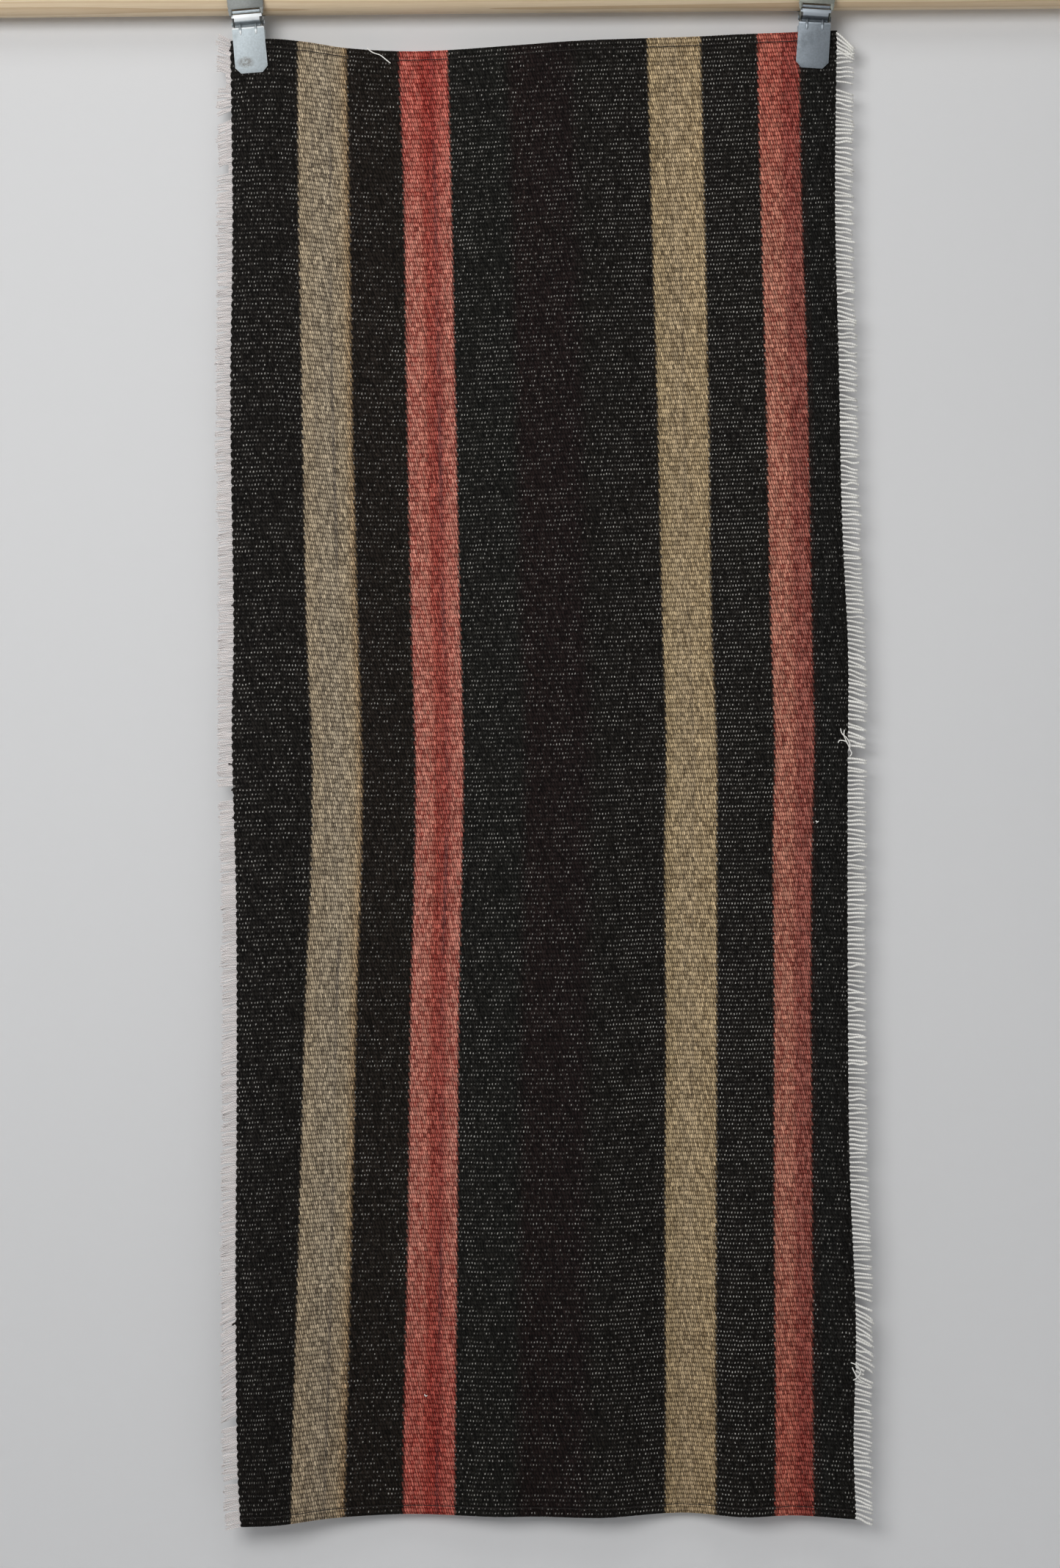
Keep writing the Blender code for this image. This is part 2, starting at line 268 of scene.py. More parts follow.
def surface_point(pair, warp, waviness):
    """A point of the cloth's middle layer, by its place in the weave."""
    down = warp / WARPS
    lines = band_lines(down)
    x = float(np.interp(pair, BAND_PAIRS, lines))
    y, z = middle_surface(x, down, lines[0], lines[-1], waviness)
    return Vector((x, y, z))


def new_piece(name, points, faces, material, slot, *replaced):
    """A mesh piece from points and faces, riding on the frame."""
    mesh = bpy.data.meshes.new(name)
    mesh.from_pydata(points, [], faces)
    mesh.validate()
    mesh.shade_smooth()
    piece = bpy.data.objects.new(name, mesh)
    bpy.context.scene.collection.objects.link(piece)
    return finish_piece(piece, material, slot, *replaced)


def finish_piece(piece, material, slot, *replaced):
    piece.data.materials.clear()
    piece.data.materials.append(material)
    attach(piece, "root")
    if replaced:
        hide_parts(*replaced)
    return piece


def only_select(piece):
    bpy.ops.object.select_all(action="DESELECT")
    piece.select_set(True)
    bpy.context.view_layer.objects.active = piece


class ThreadMesh:
    """Gathers many short tubes of yarn into one mesh, with a UV of (turn, mm along)."""

    def __init__(self, sides=5):
        self.sides = sides
        self.points = []
        self.faces = []
        self.uvs = []
        self.tones = []

    def add(self, path, radius, tone, tip=0.6):
        """One yarn along a path of points; tip is its end radius as a share of its radius."""
        first = len(self.points)
        along = first * 0.61 % 7 * MM
        marks = []
        for i, point in enumerate(path):
            ahead = path[min(i + 1, len(path) - 1)]
            behind = path[max(i - 1, 0)]
            forward = (ahead - behind).normalized()
            side = forward.cross(Vector((0.12, 0.97, 0.2))).normalized()
            up = side.cross(forward)
            if i:
                along += (point - path[i - 1]).length
            marks.append(along / MM)
            size = radius * (tip if i == len(path) - 1 else 1.0)
            for k in range(self.sides):
                turn = 2 * math.pi * k / self.sides
                self.points.append(point + (side * math.cos(turn) + up * math.sin(turn)) * size)
                self.tones.append(tone)
        for i in range(len(path) - 1):
            for k in range(self.sides):
                after = (k + 1) % self.sides
                low = first + i * self.sides
                high = low + self.sides
                self.faces.append((low + k, low + after, high + after, high + k))
                a, b = k / self.sides, (k + 1) / self.sides
                self.uvs += [(a, marks[i]), (b, marks[i]), (b, marks[i + 1]), (a, marks[i + 1])]
        last = first + (len(path) - 1) * self.sides
        self.faces.append(tuple(first + k for k in reversed(range(self.sides))))
        self.faces.append(tuple(last + k for k in range(self.sides)))
        self.uvs += [(0.5, marks[0])] * self.sides + [(0.5, marks[-1])] * self.sides

    def piece(self, name, material, slot, *replaced):
        made = new_piece(name, self.points, self.faces, material, slot, *replaced)
        uv = made.data.uv_layers.new(name="yarn")
        uv.data.foreach_set("uv", [value for pair in self.uvs for value in pair])
        tone = made.data.attributes.new("tone", "FLOAT", "POINT")
        tone.data.foreach_set("value", self.tones)
        return made


# ---------------------------------------------------------------- material helpers


class Nodes:
    """Adds nodes to a tree from left to right; an input takes a number, a colour or a socket."""

    def __init__(self, tree):
        self.tree = tree
        self.count = 0

    def add(self, kind, inputs=(), **settings):
        node = self.tree.nodes.new(kind)
        node.location = (180 * (self.count // 4), -200 * (self.count % 4))
        self.count += 1
        for name, value in settings.items():
            setattr(node, name, value)
        for key, value in dict(inputs).items():
            self.feed(node.inputs[key], value)
        return node

    def feed(self, socket, value):
        if isinstance(value, bpy.types.NodeSocket):
            self.tree.links.new(value, socket)
        elif socket.type == "RGBA" and len(value) == 3:
            socket.default_value = (*value, 1.0)
        else:
            socket.default_value = value

    def math(self, operation, *values, clamp=False):
        node = self.add("ShaderNodeMath", enumerate(values), operation=operation, use_clamp=clamp)
        return node.outputs[0]

    def blend(self, factor, a, b, kind="MIX"):
        node = self.add("ShaderNodeMix", data_type="RGBA", blend_type=kind)
        self.feed(node.inputs[0], factor)
        self.feed(node.inputs[6], a)
        self.feed(node.inputs[7], b)
        return node.outputs[2]

    def between(self, factor, a, b):
        node = self.add("ShaderNodeMix", data_type="FLOAT")
        self.feed(node.inputs[0], factor)
        self.feed(node.inputs[2], a)
        self.feed(node.inputs[3], b)
        return node.outputs[0]

    def spread(self, value, low, high, to_low=0.0, to_high=1.0):
        """A smooth change from to_low to to_high as value goes from low to high."""
        inputs = {0: value, 1: low, 2: high, 3: to_low, 4: to_high}
        node = self.add("ShaderNodeMapRange", inputs, interpolation_type="SMOOTHSTEP")
        return node.outputs[0]

    def split(self, vector):
        return self.add("ShaderNodeSeparateXYZ", {0: vector}).outputs

    def join(self, x, y, z=0.0):
        return self.add("ShaderNodeCombineXYZ", {0: x, 1: y, 2: z}).outputs[0]

    def noise(self, vector, scale, detail=2.0, roughness=0.5):
        inputs = {"Vector": vector, "Scale": scale, "Detail": detail, "Roughness": roughness}
        return self.add("ShaderNodeTexNoise", inputs).outputs[0]

    def random(self, vector):
        return self.add("ShaderNodeTexWhiteNoise", {"Vector": vector}).outputs[0]

    def ramp(self, value, stops):
        node = self.add("ShaderNodeValToRGB", {0: value})
        elements = node.color_ramp.elements
        while len(elements) < len(stops):
            elements.new(1.0)
        for element, (place, color) in zip(elements, stops):
            element.position = place
            element.color = (*color, 1.0)
        return node.outputs[0]

    def bump(self, height, distance, strength=1.0):
        inputs = {"Height": height, "Distance": distance, "Strength": strength}
        return self.add("ShaderNodeBump", inputs).outputs[0]

    def group(self, tree, inputs):
        node = self.add("ShaderNodeGroup", node_tree=tree)
        for name, value in inputs.items():
            self.feed(node.inputs[name], value)
        return node.outputs


def new_group(name, inputs, outputs):
    """A shader node group: its tree's Nodes, its input sockets and its output node."""
    tree = bpy.data.node_groups.new(name, "ShaderNodeTree")
    for label, kind in inputs:
        tree.interface.new_socket(name=label, in_out="INPUT", socket_type=kind)
    for label, kind in outputs:
        tree.interface.new_socket(name=label, in_out="OUTPUT", socket_type=kind)
    nodes = Nodes(tree)
    entry = nodes.add("NodeGroupInput")
    leave = nodes.add("NodeGroupOutput")
    return nodes, entry.outputs, leave


def new_material(name):
    """A node material: its Nodes and its Principled shader."""
    material = bpy.data.materials.new(name)
    material.use_nodes = True
    shader = material.node_tree.nodes["Principled BSDF"]
    return material, Nodes(material.node_tree), shader


VECTOR = "NodeSocketVector"
FLOAT = "NodeSocketFloat"


def weft_group():
    """The face of a weft-faced plain weave: rows of weft floats, each row half a step along.

    Floats lie one thread pair wide on every second warp, and the rows between hold the other
    shed. The cotton warp shows as a dot where two floats of a row leave it bare.
    """
    nodes, inputs, leave = new_group(
        "Weft Floats",
        [("Weave", VECTOR), ("Slant", FLOAT), ("Wobble", FLOAT)],
        [
            ("Height", FLOAT), ("Pair", FLOAT), ("Warp", FLOAT), ("Shade", FLOAT),
            ("Dot", FLOAT), ("Dot Chance", FLOAT), ("Groove", FLOAT), ("Thread", FLOAT),
        ],
    )
    shake = nodes.add(
        "ShaderNodeTexNoise", {"Vector": inputs["Weave"], "Scale": 0.45, "Detail": 4.0, "Roughness": 0.7}
    )
    shake = nodes.split(shake.outputs[1])
    place = nodes.split(inputs["Weave"])
    u = nodes.math("MULTIPLY_ADD", nodes.math("SUBTRACT", shake[0], 0.5), inputs["Wobble"], place[0])
    v = nodes.math("MULTIPLY_ADD", nodes.math("SUBTRACT", shake[1], 0.5), inputs["Wobble"], place[1])
    sheds = []
    for warp_start, pair_start in ((0.0, 0.0), (1.0, 0.5)):
        moved = nodes.math("SUBTRACT", v, warp_start)
        nearest = nodes.math("ROUND", nodes.math("MULTIPLY", moved, 0.5))
        warp = nodes.math("MULTIPLY_ADD", nearest, 2.0, warp_start)
        below = nodes.math("SUBTRACT", v, warp)
        straight = nodes.math("ADD", u, pair_start)
        leaned = nodes.math("SUBTRACT", straight, nodes.math("MULTIPLY", below, inputs["Slant"]))
        pair = nodes.math("FLOOR", leaned)
        aside = nodes.math("SUBTRACT", nodes.math("SUBTRACT", leaned, pair), 0.5)
        wide = nodes.math("POWER", nodes.math("DIVIDE", aside, 0.52), 2.0)
        tall = nodes.math("POWER", nodes.math("DIVIDE", below, 0.66), 2.0)
        left_over = nodes.math("SUBTRACT", 1.0, nodes.math("ADD", wide, tall), clamp=True)
        middle = nodes.math("ADD", pair, 0.5 - pair_start)
        column = nodes.math("FLOOR", straight)
        off_column = nodes.math("SUBTRACT", nodes.math("SUBTRACT", straight, column), 0.5)
        sheds.append((warp, below, nodes.math("SQRT", left_over), middle, column, off_column, aside))
    (warp_a, below_a, height_a, middle_a, column_a, off_a, aside_a) = sheds[0]
    (warp_b, below_b, height_b, middle_b, column_b, off_b, aside_b) = sheds[1]
    first = nodes.math("GREATER_THAN", height_a, height_b)
    pair = nodes.between(first, middle_b, middle_a)
    warp = nodes.between(first, warp_b, warp_a)
    # A shed's own columns cross the other shed's rows exactly where the warp lies bare.
    dots = []
    for off, below, column, row in ((off_a, below_b, column_a, warp_b), (off_b, below_a, column_b, warp_a)):
        wide = nodes.math("POWER", nodes.math("DIVIDE", off, 0.19), 2.0)
        tall = nodes.math("POWER", nodes.math("DIVIDE", below, 0.27), 2.0)
        mask = nodes.math("SUBTRACT", 1.0, nodes.math("ADD", wide, tall), clamp=True)
        dots.append((mask, nodes.random(nodes.join(column, row, 3.0))))
    (dot_a, chance_a), (dot_b, chance_b) = dots
    which = nodes.math("GREATER_THAN", dot_a, dot_b)
    nodes.feed(leave.inputs["Height"], nodes.math("MAXIMUM", height_a, height_b))
    nodes.feed(leave.inputs["Pair"], pair)
    nodes.feed(leave.inputs["Warp"], warp)
    nodes.feed(leave.inputs["Shade"], nodes.random(nodes.join(pair, warp)))
    nodes.feed(leave.inputs["Dot"], nodes.math("MAXIMUM", dot_a, dot_b))
    nodes.feed(leave.inputs["Dot Chance"], nodes.between(which, chance_b, chance_a))
    # The two threads of a pair lie side by side, with a groove between them.
    aside = nodes.between(first, aside_b, aside_a)
    nodes.feed(leave.inputs["Groove"], nodes.spread(nodes.math("ABSOLUTE", aside), 0.0, 0.16, 1.0, 0.0))
    nodes.feed(leave.inputs["Thread"], nodes.math("GREATER_THAN", aside, 0.0))
    return nodes.tree


def yarn_group():
    """Fine hairs and the twist of a yarn, from a yarn's own coordinates."""
    nodes, inputs, leave = new_group(
        "Yarn Twist", [("Yarn", VECTOR), ("Turns", FLOAT)], [("Twist", FLOAT), ("Hair", FLOAT)]
    )
    place = nodes.split(inputs["Yarn"])
    phase = nodes.math("MULTIPLY_ADD", place[1], inputs["Turns"], place[0])
    wave = nodes.math("SINE", nodes.math("MULTIPLY", phase, 2 * math.pi))
    nodes.feed(leave.inputs["Twist"], nodes.math("MULTIPLY_ADD", wave, 0.5, 0.5))
    hair = nodes.noise(nodes.join(nodes.math("MULTIPLY", place[0], 6.0), place[1]), 3.0, 3.0)
    nodes.feed(leave.inputs["Hair"], hair)
    return nodes.tree


def smudge_group():
    """Handling marks: soft dark smears and fine scratches, on object coordinates in mm."""
    nodes, inputs, leave = new_group(
        "Smudges", [("Place", VECTOR), ("Amount", FLOAT)], [("Smear", FLOAT), ("Scratch", FLOAT)]
    )
    broad = nodes.noise(inputs["Place"], 0.09, 4.0, 0.6)
    smear = nodes.spread(broad, 0.5, 0.72)
    nodes.feed(leave.inputs["Smear"], nodes.math("MULTIPLY", smear, inputs["Amount"]))
    across = nodes.add("ShaderNodeMapping", {"Vector": inputs["Place"], "Scale": (6.0, 6.0, 0.25)})
    fine = nodes.noise(across.outputs[0], 1.2, 2.0)
    nodes.feed(leave.inputs["Scratch"], fine)
    return nodes.tree


# Band colours along the weave's pairs: (pair, colour on a float's crest with its painted highlight, colour
# in its painted shadow).
BAND_COLORS = [
    (0.0, (0.018, 0.016, 0.0145), (0.009, 0.008, 0.0075)),
    (22.8, (0.018, 0.016, 0.014), (0.009, 0.008, 0.007)),
    (23.0, (0.49, 0.39, 0.26), (0.13, 0.095, 0.06)),
    (35.0, (0.48, 0.395, 0.28), (0.12, 0.092, 0.064)),
    (42.5, (0.49, 0.39, 0.26), (0.13, 0.095, 0.06)),
    (45.8, (0.5, 0.35, 0.2), (0.13, 0.085, 0.045)),
    (46.0, (0.023, 0.018, 0.015), (0.011, 0.009, 0.007)),
    (63.8, (0.021, 0.017, 0.014), (0.011, 0.009, 0.007)),
    (64.0, (0.6, 0.25, 0.19), (0.24, 0.03, 0.022)),
    (71.5, (0.58, 0.23, 0.17), (0.23, 0.028, 0.02)),
    (74.0, (0.44, 0.11, 0.08), (0.17, 0.014, 0.011)),
    (79.0, (0.42, 0.11, 0.085), (0.145, 0.013, 0.011)),
    (81.5, (0.57, 0.22, 0.165), (0.22, 0.028, 0.02)),
    (85.8, (0.6, 0.25, 0.19), (0.24, 0.031, 0.023)),
    (86.0, (0.018, 0.017, 0.015), (0.009, 0.009, 0.008)),
    (105.0, (0.017, 0.017, 0.015), (0.009, 0.009, 0.008)),
    (109.0, (0.021, 0.014, 0.013), (0.011, 0.007, 0.007)),
    (127.0, (0.02, 0.0135, 0.013), (0.01, 0.007, 0.007)),
    (132.0, (0.018, 0.016, 0.014), (0.009, 0.008, 0.007)),
    (155.8, (0.018, 0.016, 0.014), (0.009, 0.008, 0.007)),
    (156.0, (0.51, 0.385, 0.22), (0.135, 0.092, 0.046)),
    (165.0, (0.53, 0.405, 0.25), (0.145, 0.1, 0.052)),
    (179.8, (0.54, 0.405, 0.235), (0.145, 0.096, 0.047)),
    (180.0, (0.018, 0.016, 0.014), (0.009, 0.008, 0.007)),
    (199.8, (0.018, 0.016, 0.014), (0.009, 0.008, 0.007)),
    (200.0, (0.57, 0.25, 0.175), (0.2, 0.031, 0.022)),
    (208.0, (0.56, 0.235, 0.165), (0.19, 0.028, 0.02)),
    (210.5, (0.39, 0.13, 0.1), (0.13, 0.016, 0.012)),
    (216.8, (0.38, 0.13, 0.1), (0.12, 0.016, 0.012)),
    (217.0, (0.028, 0.017, 0.0145), (0.012, 0.008, 0.007)),
    (220.0, (0.016, 0.016, 0.015), (0.009, 0.009, 0.008)),
    (230.0, (0.015, 0.014, 0.013), (0.008, 0.007, 0.006)),
]
# Darker threads that run the length of a band: (pair, drift in pairs, strength).
STREAKS = ((37.5, 3.5, 0.5), (29.5, 3.0, 0.25), (78.5, 2.5, 0.4), (168.5, 3.5, 0.2))
# How much bare cotton shows, as (pair, share).
WEAR = (
    (0, 0.55), (55, 0.4), (92, 0.56), (105, 0.52), (113, 0.38), (127, 0.44), (140, 0.62), (185, 0.75),
    (200, 0.65), (217, 0.48), (230, 0.42),
)
# Where the ground is black, and where it is red, as spans of pairs.
BLACK_SPANS = ((-9, 23), (46, 64), (86, 156), (180, 200), (217, 240))
RED_SPANS = ((64, 86), (200, 217))


def in_spans(nodes, pair, spans):
    """1 where the pair lies in one of the spans, and 0 elsewhere."""
    inside = 0.0
    for low, high in spans:
        above = nodes.math("GREATER_THAN", pair, low - 0.3)
        under = nodes.math("LESS_THAN", pair, high - 0.3)
        inside = nodes.math("MULTIPLY_ADD", above, under, inside)
    return inside


def make_wool():
    material, nodes, shader = new_material("wool_weave")
    place = nodes.add("ShaderNodeAttribute", attribute_name="weave").outputs["Vector"]
    weft = nodes.group(weft_group(), {"Weave": place, "Slant": 0.34, "Wobble": 0.8})
    pair, warp = weft["Pair"], weft["Warp"]
    share = nodes.math("DIVIDE", pair, PAIRS)
    light = nodes.ramp(share, [(at / PAIRS, color) for at, color, _ in BAND_COLORS])
    dark = nodes.ramp(share, [(at / PAIRS, color) for at, _, color in BAND_COLORS])
    # Each weft keeps its own shade for a long way up and down the rug, as hand-dyed wool does.
    shot = nodes.join(nodes.math("MULTIPLY", pair, 1.3), nodes.math("MULTIPLY", warp, 0.012))
    shot = nodes.noise(shot, 1.0, 2.0)
    short = nodes.join(nodes.math("MULTIPLY", pair, 0.9), nodes.math("MULTIPLY", warp, 0.12))
    short = nodes.noise(short, 1.0, 2.0)
    tone = nodes.math("MULTIPLY_ADD", short, 0.5, nodes.math("MULTIPLY", shot, 1.1))
    tone = nodes.math("MULTIPLY_ADD", weft["Shade"], 1.7, tone)
    # Painted highlight and shade: by its height, each float is painted towards the crest colour on top and
    # towards the shadow colour at its edges; the random tone above varies it too.
    tone = nodes.math("MULTIPLY_ADD", nodes.math("POWER", weft["Height"], 2.5), 1.7, tone)
    color = nodes.blend(nodes.spread(tone, 0.9, 3.8), dark, light)
    for at, drift, strength in STREAKS:
        wander = nodes.noise(nodes.join(at, nodes.math("MULTIPLY", warp, 0.012)), 1.0, 2.0)
        middle = nodes.math("MULTIPLY_ADD", nodes.math("SUBTRACT", wander, 0.5), drift, at)
        off = nodes.math("ABSOLUTE", nodes.math("SUBTRACT", pair, middle))
        fading = nodes.noise(nodes.join(at, nodes.math("MULTIPLY", warp, 0.06), 5.0), 1.0, 2.0)
        near = nodes.spread(off, 0.3, 1.1, 1.0, 0.0)
        streak = nodes.math("MULTIPLY", near, nodes.spread(fading, 0.35, 0.6))
        color = nodes.blend(nodes.math("MULTIPLY", streak, strength), color, (0.05, 0.045, 0.05))
    # Hairs along each float, and the shadow where floats dive between one another.
    spot = nodes.split(place)
    hair = nodes.join(nodes.math("MULTIPLY", spot[0], 9.0), nodes.math("MULTIPLY", spot[1], 1.6))
    hair = nodes.noise(hair, 1.0, 3.0, 0.6)
    shade = nodes.math("MULTIPLY_ADD", weft["Height"], 0.8, 0.38)
    shade = nodes.math("MULTIPLY", shade, nodes.spread(hair, 0.25, 0.75, 0.5, 1.5))
    other = nodes.random(nodes.join(warp, pair, weft["Thread"]))
    shade = nodes.math("MULTIPLY", shade, nodes.math("MULTIPLY_ADD", other, 0.9, 0.63))
    # Painted shade in the groove between the two threads of a pair.
    shade = nodes.math("MULTIPLY", shade, nodes.math("MULTIPLY_ADD", weft["Groove"], -0.4, 1.0))
    color = nodes.blend(1.0, color, nodes.join(shade, shade, shade), "MULTIPLY")
    # The red has faded least near the hems, and painted shade darkens the bottom.
    down = nodes.math("DIVIDE", warp, WARPS)
    fresh = nodes.math("ADD", nodes.spread(down, 0.02, 0.16, 1.0, 0.0), nodes.spread(down, 0.8, 0.97))
    fresh = nodes.math("MULTIPLY", fresh, in_spans(nodes, pair, RED_SPANS))
    color = nodes.blend(fresh, color, (1.0, 0.7, 0.72), "MULTIPLY")
    color = nodes.blend(nodes.spread(down, 0.75, 1.0), color, (0.89, 0.87, 0.85), "MULTIPLY")
    # Bare cotton between the floats: common in the black ground, rarer in the coloured bands.
    black = in_spans(nodes, pair, BLACK_SPANS)
    color = nodes.blend(black, color, (0.8, 0.79, 0.78), "MULTIPLY")
    worn = nodes.ramp(share, [(at / PAIRS, (value,) * 3) for at, value in WEAR])
    patch = nodes.join(nodes.math("MULTIPLY", pair, 0.17), nodes.math("MULTIPLY", warp, 0.09))
    patch = nodes.noise(patch, 1.0, 3.0, 0.7)
    row = nodes.random(nodes.join(warp, nodes.math("ROUND", nodes.math("MULTIPLY", pair, 0.06)), 8.0))
    bare = nodes.math("MULTIPLY_ADD", nodes.math("SUBTRACT", patch, 0.5), 1.2, worn)
    bare = nodes.math("MULTIPLY_ADD", nodes.math("SUBTRACT", row, 0.5), 0.35, bare)
    bare = nodes.math("ADD", nodes.math("SUBTRACT", bare, 1.0), weft["Dot Chance"])
    bare = nodes.math("MULTIPLY", nodes.spread(bare, -0.3, 0.9), nodes.spread(weft["Dot"], 0.0, 0.7))
    bare = nodes.math("MULTIPLY", bare, nodes.math("MULTIPLY_ADD", black, 0.85, 0.15))
    color = nodes.blend(bare, color, (0.52, 0.505, 0.47))
    nodes.feed(shader.inputs["Base Color"], color)
    shader.inputs["Roughness"].default_value = 0.92
    shader.inputs["Specular IOR Level"].default_value = 0.1
    relief = nodes.math("MULTIPLY_ADD", hair, 0.15, weft["Height"])
    relief = nodes.math("MULTIPLY_ADD", weft["Groove"], -0.2, relief)
    nodes.feed(shader.inputs["Normal"], nodes.bump(relief, 0.7 * MM))
    return material


def make_yarn(name, color, turns, twist_depth, dark_share):
    """Twisted yarn in one colour, with each thread a little different."""
    material, nodes, shader = new_material(name)
    place = nodes.add("ShaderNodeUVMap", uv_map="yarn").outputs[0]
    tree = bpy.data.node_groups.get("Yarn Twist") or yarn_group()
    yarn = nodes.group(tree, {"Yarn": place, "Turns": turns})
    tone = nodes.add("ShaderNodeAttribute", attribute_name="tone").outputs["Fac"]
    # Painted shade in the twist's grooves: the yarn is painted darker where its twist turns away, with fine
    # hairs mixed in.
    deep = tuple(value * dark_share for value in color)
    look = nodes.math("MULTIPLY_ADD", yarn["Twist"], 0.55, nodes.math("MULTIPLY", yarn["Hair"], 0.45))
    body = nodes.blend(nodes.spread(look, 0.1, 0.75), deep, color)
    body = nodes.blend(1.0, body, nodes.join(tone, tone, tone), "MULTIPLY")
    nodes.feed(shader.inputs["Base Color"], body)
    shader.inputs["Roughness"].default_value = 0.9
    shader.inputs["Specular IOR Level"].default_value = 0.2
    shader.inputs["Sheen Weight"].default_value = 0.1
    relief = nodes.math("MULTIPLY_ADD", yarn["Hair"], 0.3, yarn["Twist"])
    nodes.feed(shader.inputs["Normal"], nodes.bump(relief, twist_depth))
    return material


def make_zinc(name, color, highlight_color, smudging, shine, spot=None):
    """Zinc-plated steel with soft handling marks, faint scratches, perhaps one worn spot, and painted
    highlights and shade kept on its points.
    """
    material, nodes, shader = new_material(name)
    place = nodes.add("ShaderNodeTexCoord").outputs["Object"]
    place = nodes.add("ShaderNodeMapping", {"Vector": place, "Scale": (1 / MM, 1 / MM, 1 / MM)}).outputs[0]
    tree = bpy.data.node_groups.get("Smudges") or smudge_group()
    marks = nodes.group(tree, {"Place": place, "Amount": smudging})
    mottle = nodes.noise(place, 0.7, 4.0, 0.7)
    body = nodes.blend(nodes.spread(mottle, 0.35, 0.65, 0.0, 0.5), color, tuple(v * 0.72 for v in color))
    body = nodes.blend(marks["Smear"], body, tuple(value * 0.5 for value in color))
    if spot:
        across, _, up = nodes.split(place)[:3]
        aside = nodes.math("DIVIDE", nodes.math("SUBTRACT", across, spot[0]), 6.5)
        below = nodes.math("DIVIDE", nodes.math("SUBTRACT", up, spot[1]), 4.5)
        reach = nodes.math("ADD", nodes.math("POWER", aside, 2.0), nodes.math("POWER", below, 2.0))
        near = nodes.spread(reach, 0.1, 1.2, 1.0, 0.0)
        worn = nodes.math("MULTIPLY", near, nodes.spread(mottle, 0.35, 0.6, 0.25, 1.0))
        body = nodes.blend(nodes.math("MULTIPLY", worn, 0.75), body, (0.2, 0.185, 0.165))
    # Painted highlight and painted shade kept on the points: up to 1 blends towards the highlight colour,
    # down to -1 darkens the zinc.
    painted_light = nodes.add("ShaderNodeAttribute", attribute_name="painted_light").outputs["Fac"]
    bright = nodes.math("MULTIPLY", painted_light, 1.0, clamp=True)
    painted_shade = nodes.math("MULTIPLY", painted_light, -1.0, clamp=True)
    body = nodes.blend(nodes.math("MULTIPLY", bright, 0.8), body, highlight_color)
    body = nodes.blend(nodes.math("MULTIPLY", painted_shade, 0.65), body, tuple(v * 0.2 for v in color))
    nodes.feed(shader.inputs["Base Color"], body)
    shader.inputs["Metallic"].default_value = 0.5
    rough = nodes.math("MULTIPLY_ADD", marks["Smear"], 0.25, shine)
    rough = nodes.math("MULTIPLY_ADD", marks["Scratch"], 0.1, rough)
    nodes.feed(shader.inputs["Roughness"], rough)
    relief = nodes.math("MULTIPLY_ADD", mottle, 0.6, marks["Scratch"])
    nodes.feed(shader.inputs["Normal"], nodes.bump(relief, 0.03 * MM))
    return material


def make_pine(settings):
    """Bare pine: long grain along the rod, growth rings on its ends."""
    material, nodes, shader = new_material("bare_pine")
    place = nodes.add("ShaderNodeTexCoord").outputs["Object"]
    drawn = nodes.add("ShaderNodeMapping", {"Vector": place, "Scale": (2.0, 20.0, 20.0)})
    bend = nodes.noise(drawn.outputs[0], 1.0, 2.0)
    spot = nodes.split(place)
    # The rod is sawn off the tree's centre, so its rings are shallow arcs across it.
    aside = nodes.math("POWER", nodes.math("ADD", spot[1], 0.03), 2.0)
    ahead = nodes.math("POWER", nodes.math("ADD", spot[2], 0.045), 2.0)
    radius = nodes.math("SQRT", nodes.math("ADD", aside, ahead))
    radius = nodes.math("MULTIPLY_ADD", bend, 0.006, radius)
    rings = nodes.math("FRACT", nodes.math("MULTIPLY", radius, 420.0))
    rings = nodes.math("POWER", rings, 3.0)
    fibre_place = nodes.add("ShaderNodeMapping", {"Vector": place, "Scale": (40.0, 1400.0, 1400.0)})
    fibre = nodes.noise(fibre_place.outputs[0], 1.0, 2.0)
    grain_share = nodes.math("MULTIPLY", rings, 0.75)
    body = nodes.blend(grain_share, tuple(settings.light_wood), tuple(settings.dark_wood))
    body = nodes.blend(nodes.spread(fibre, 0.35, 0.75, 0.0, 0.22), body, tuple(settings.dark_wood))
    nodes.feed(shader.inputs["Base Color"], body)
    nodes.feed(shader.inputs["Roughness"], nodes.spread(fibre, 0.2, 0.8, 0.45, 0.62))
    relief = nodes.math("MULTIPLY_ADD", rings, 0.6, fibre)
    nodes.feed(shader.inputs["Normal"], nodes.bump(relief, 0.04 * MM))
    return material


# ---------------------------------------------------------------- operators


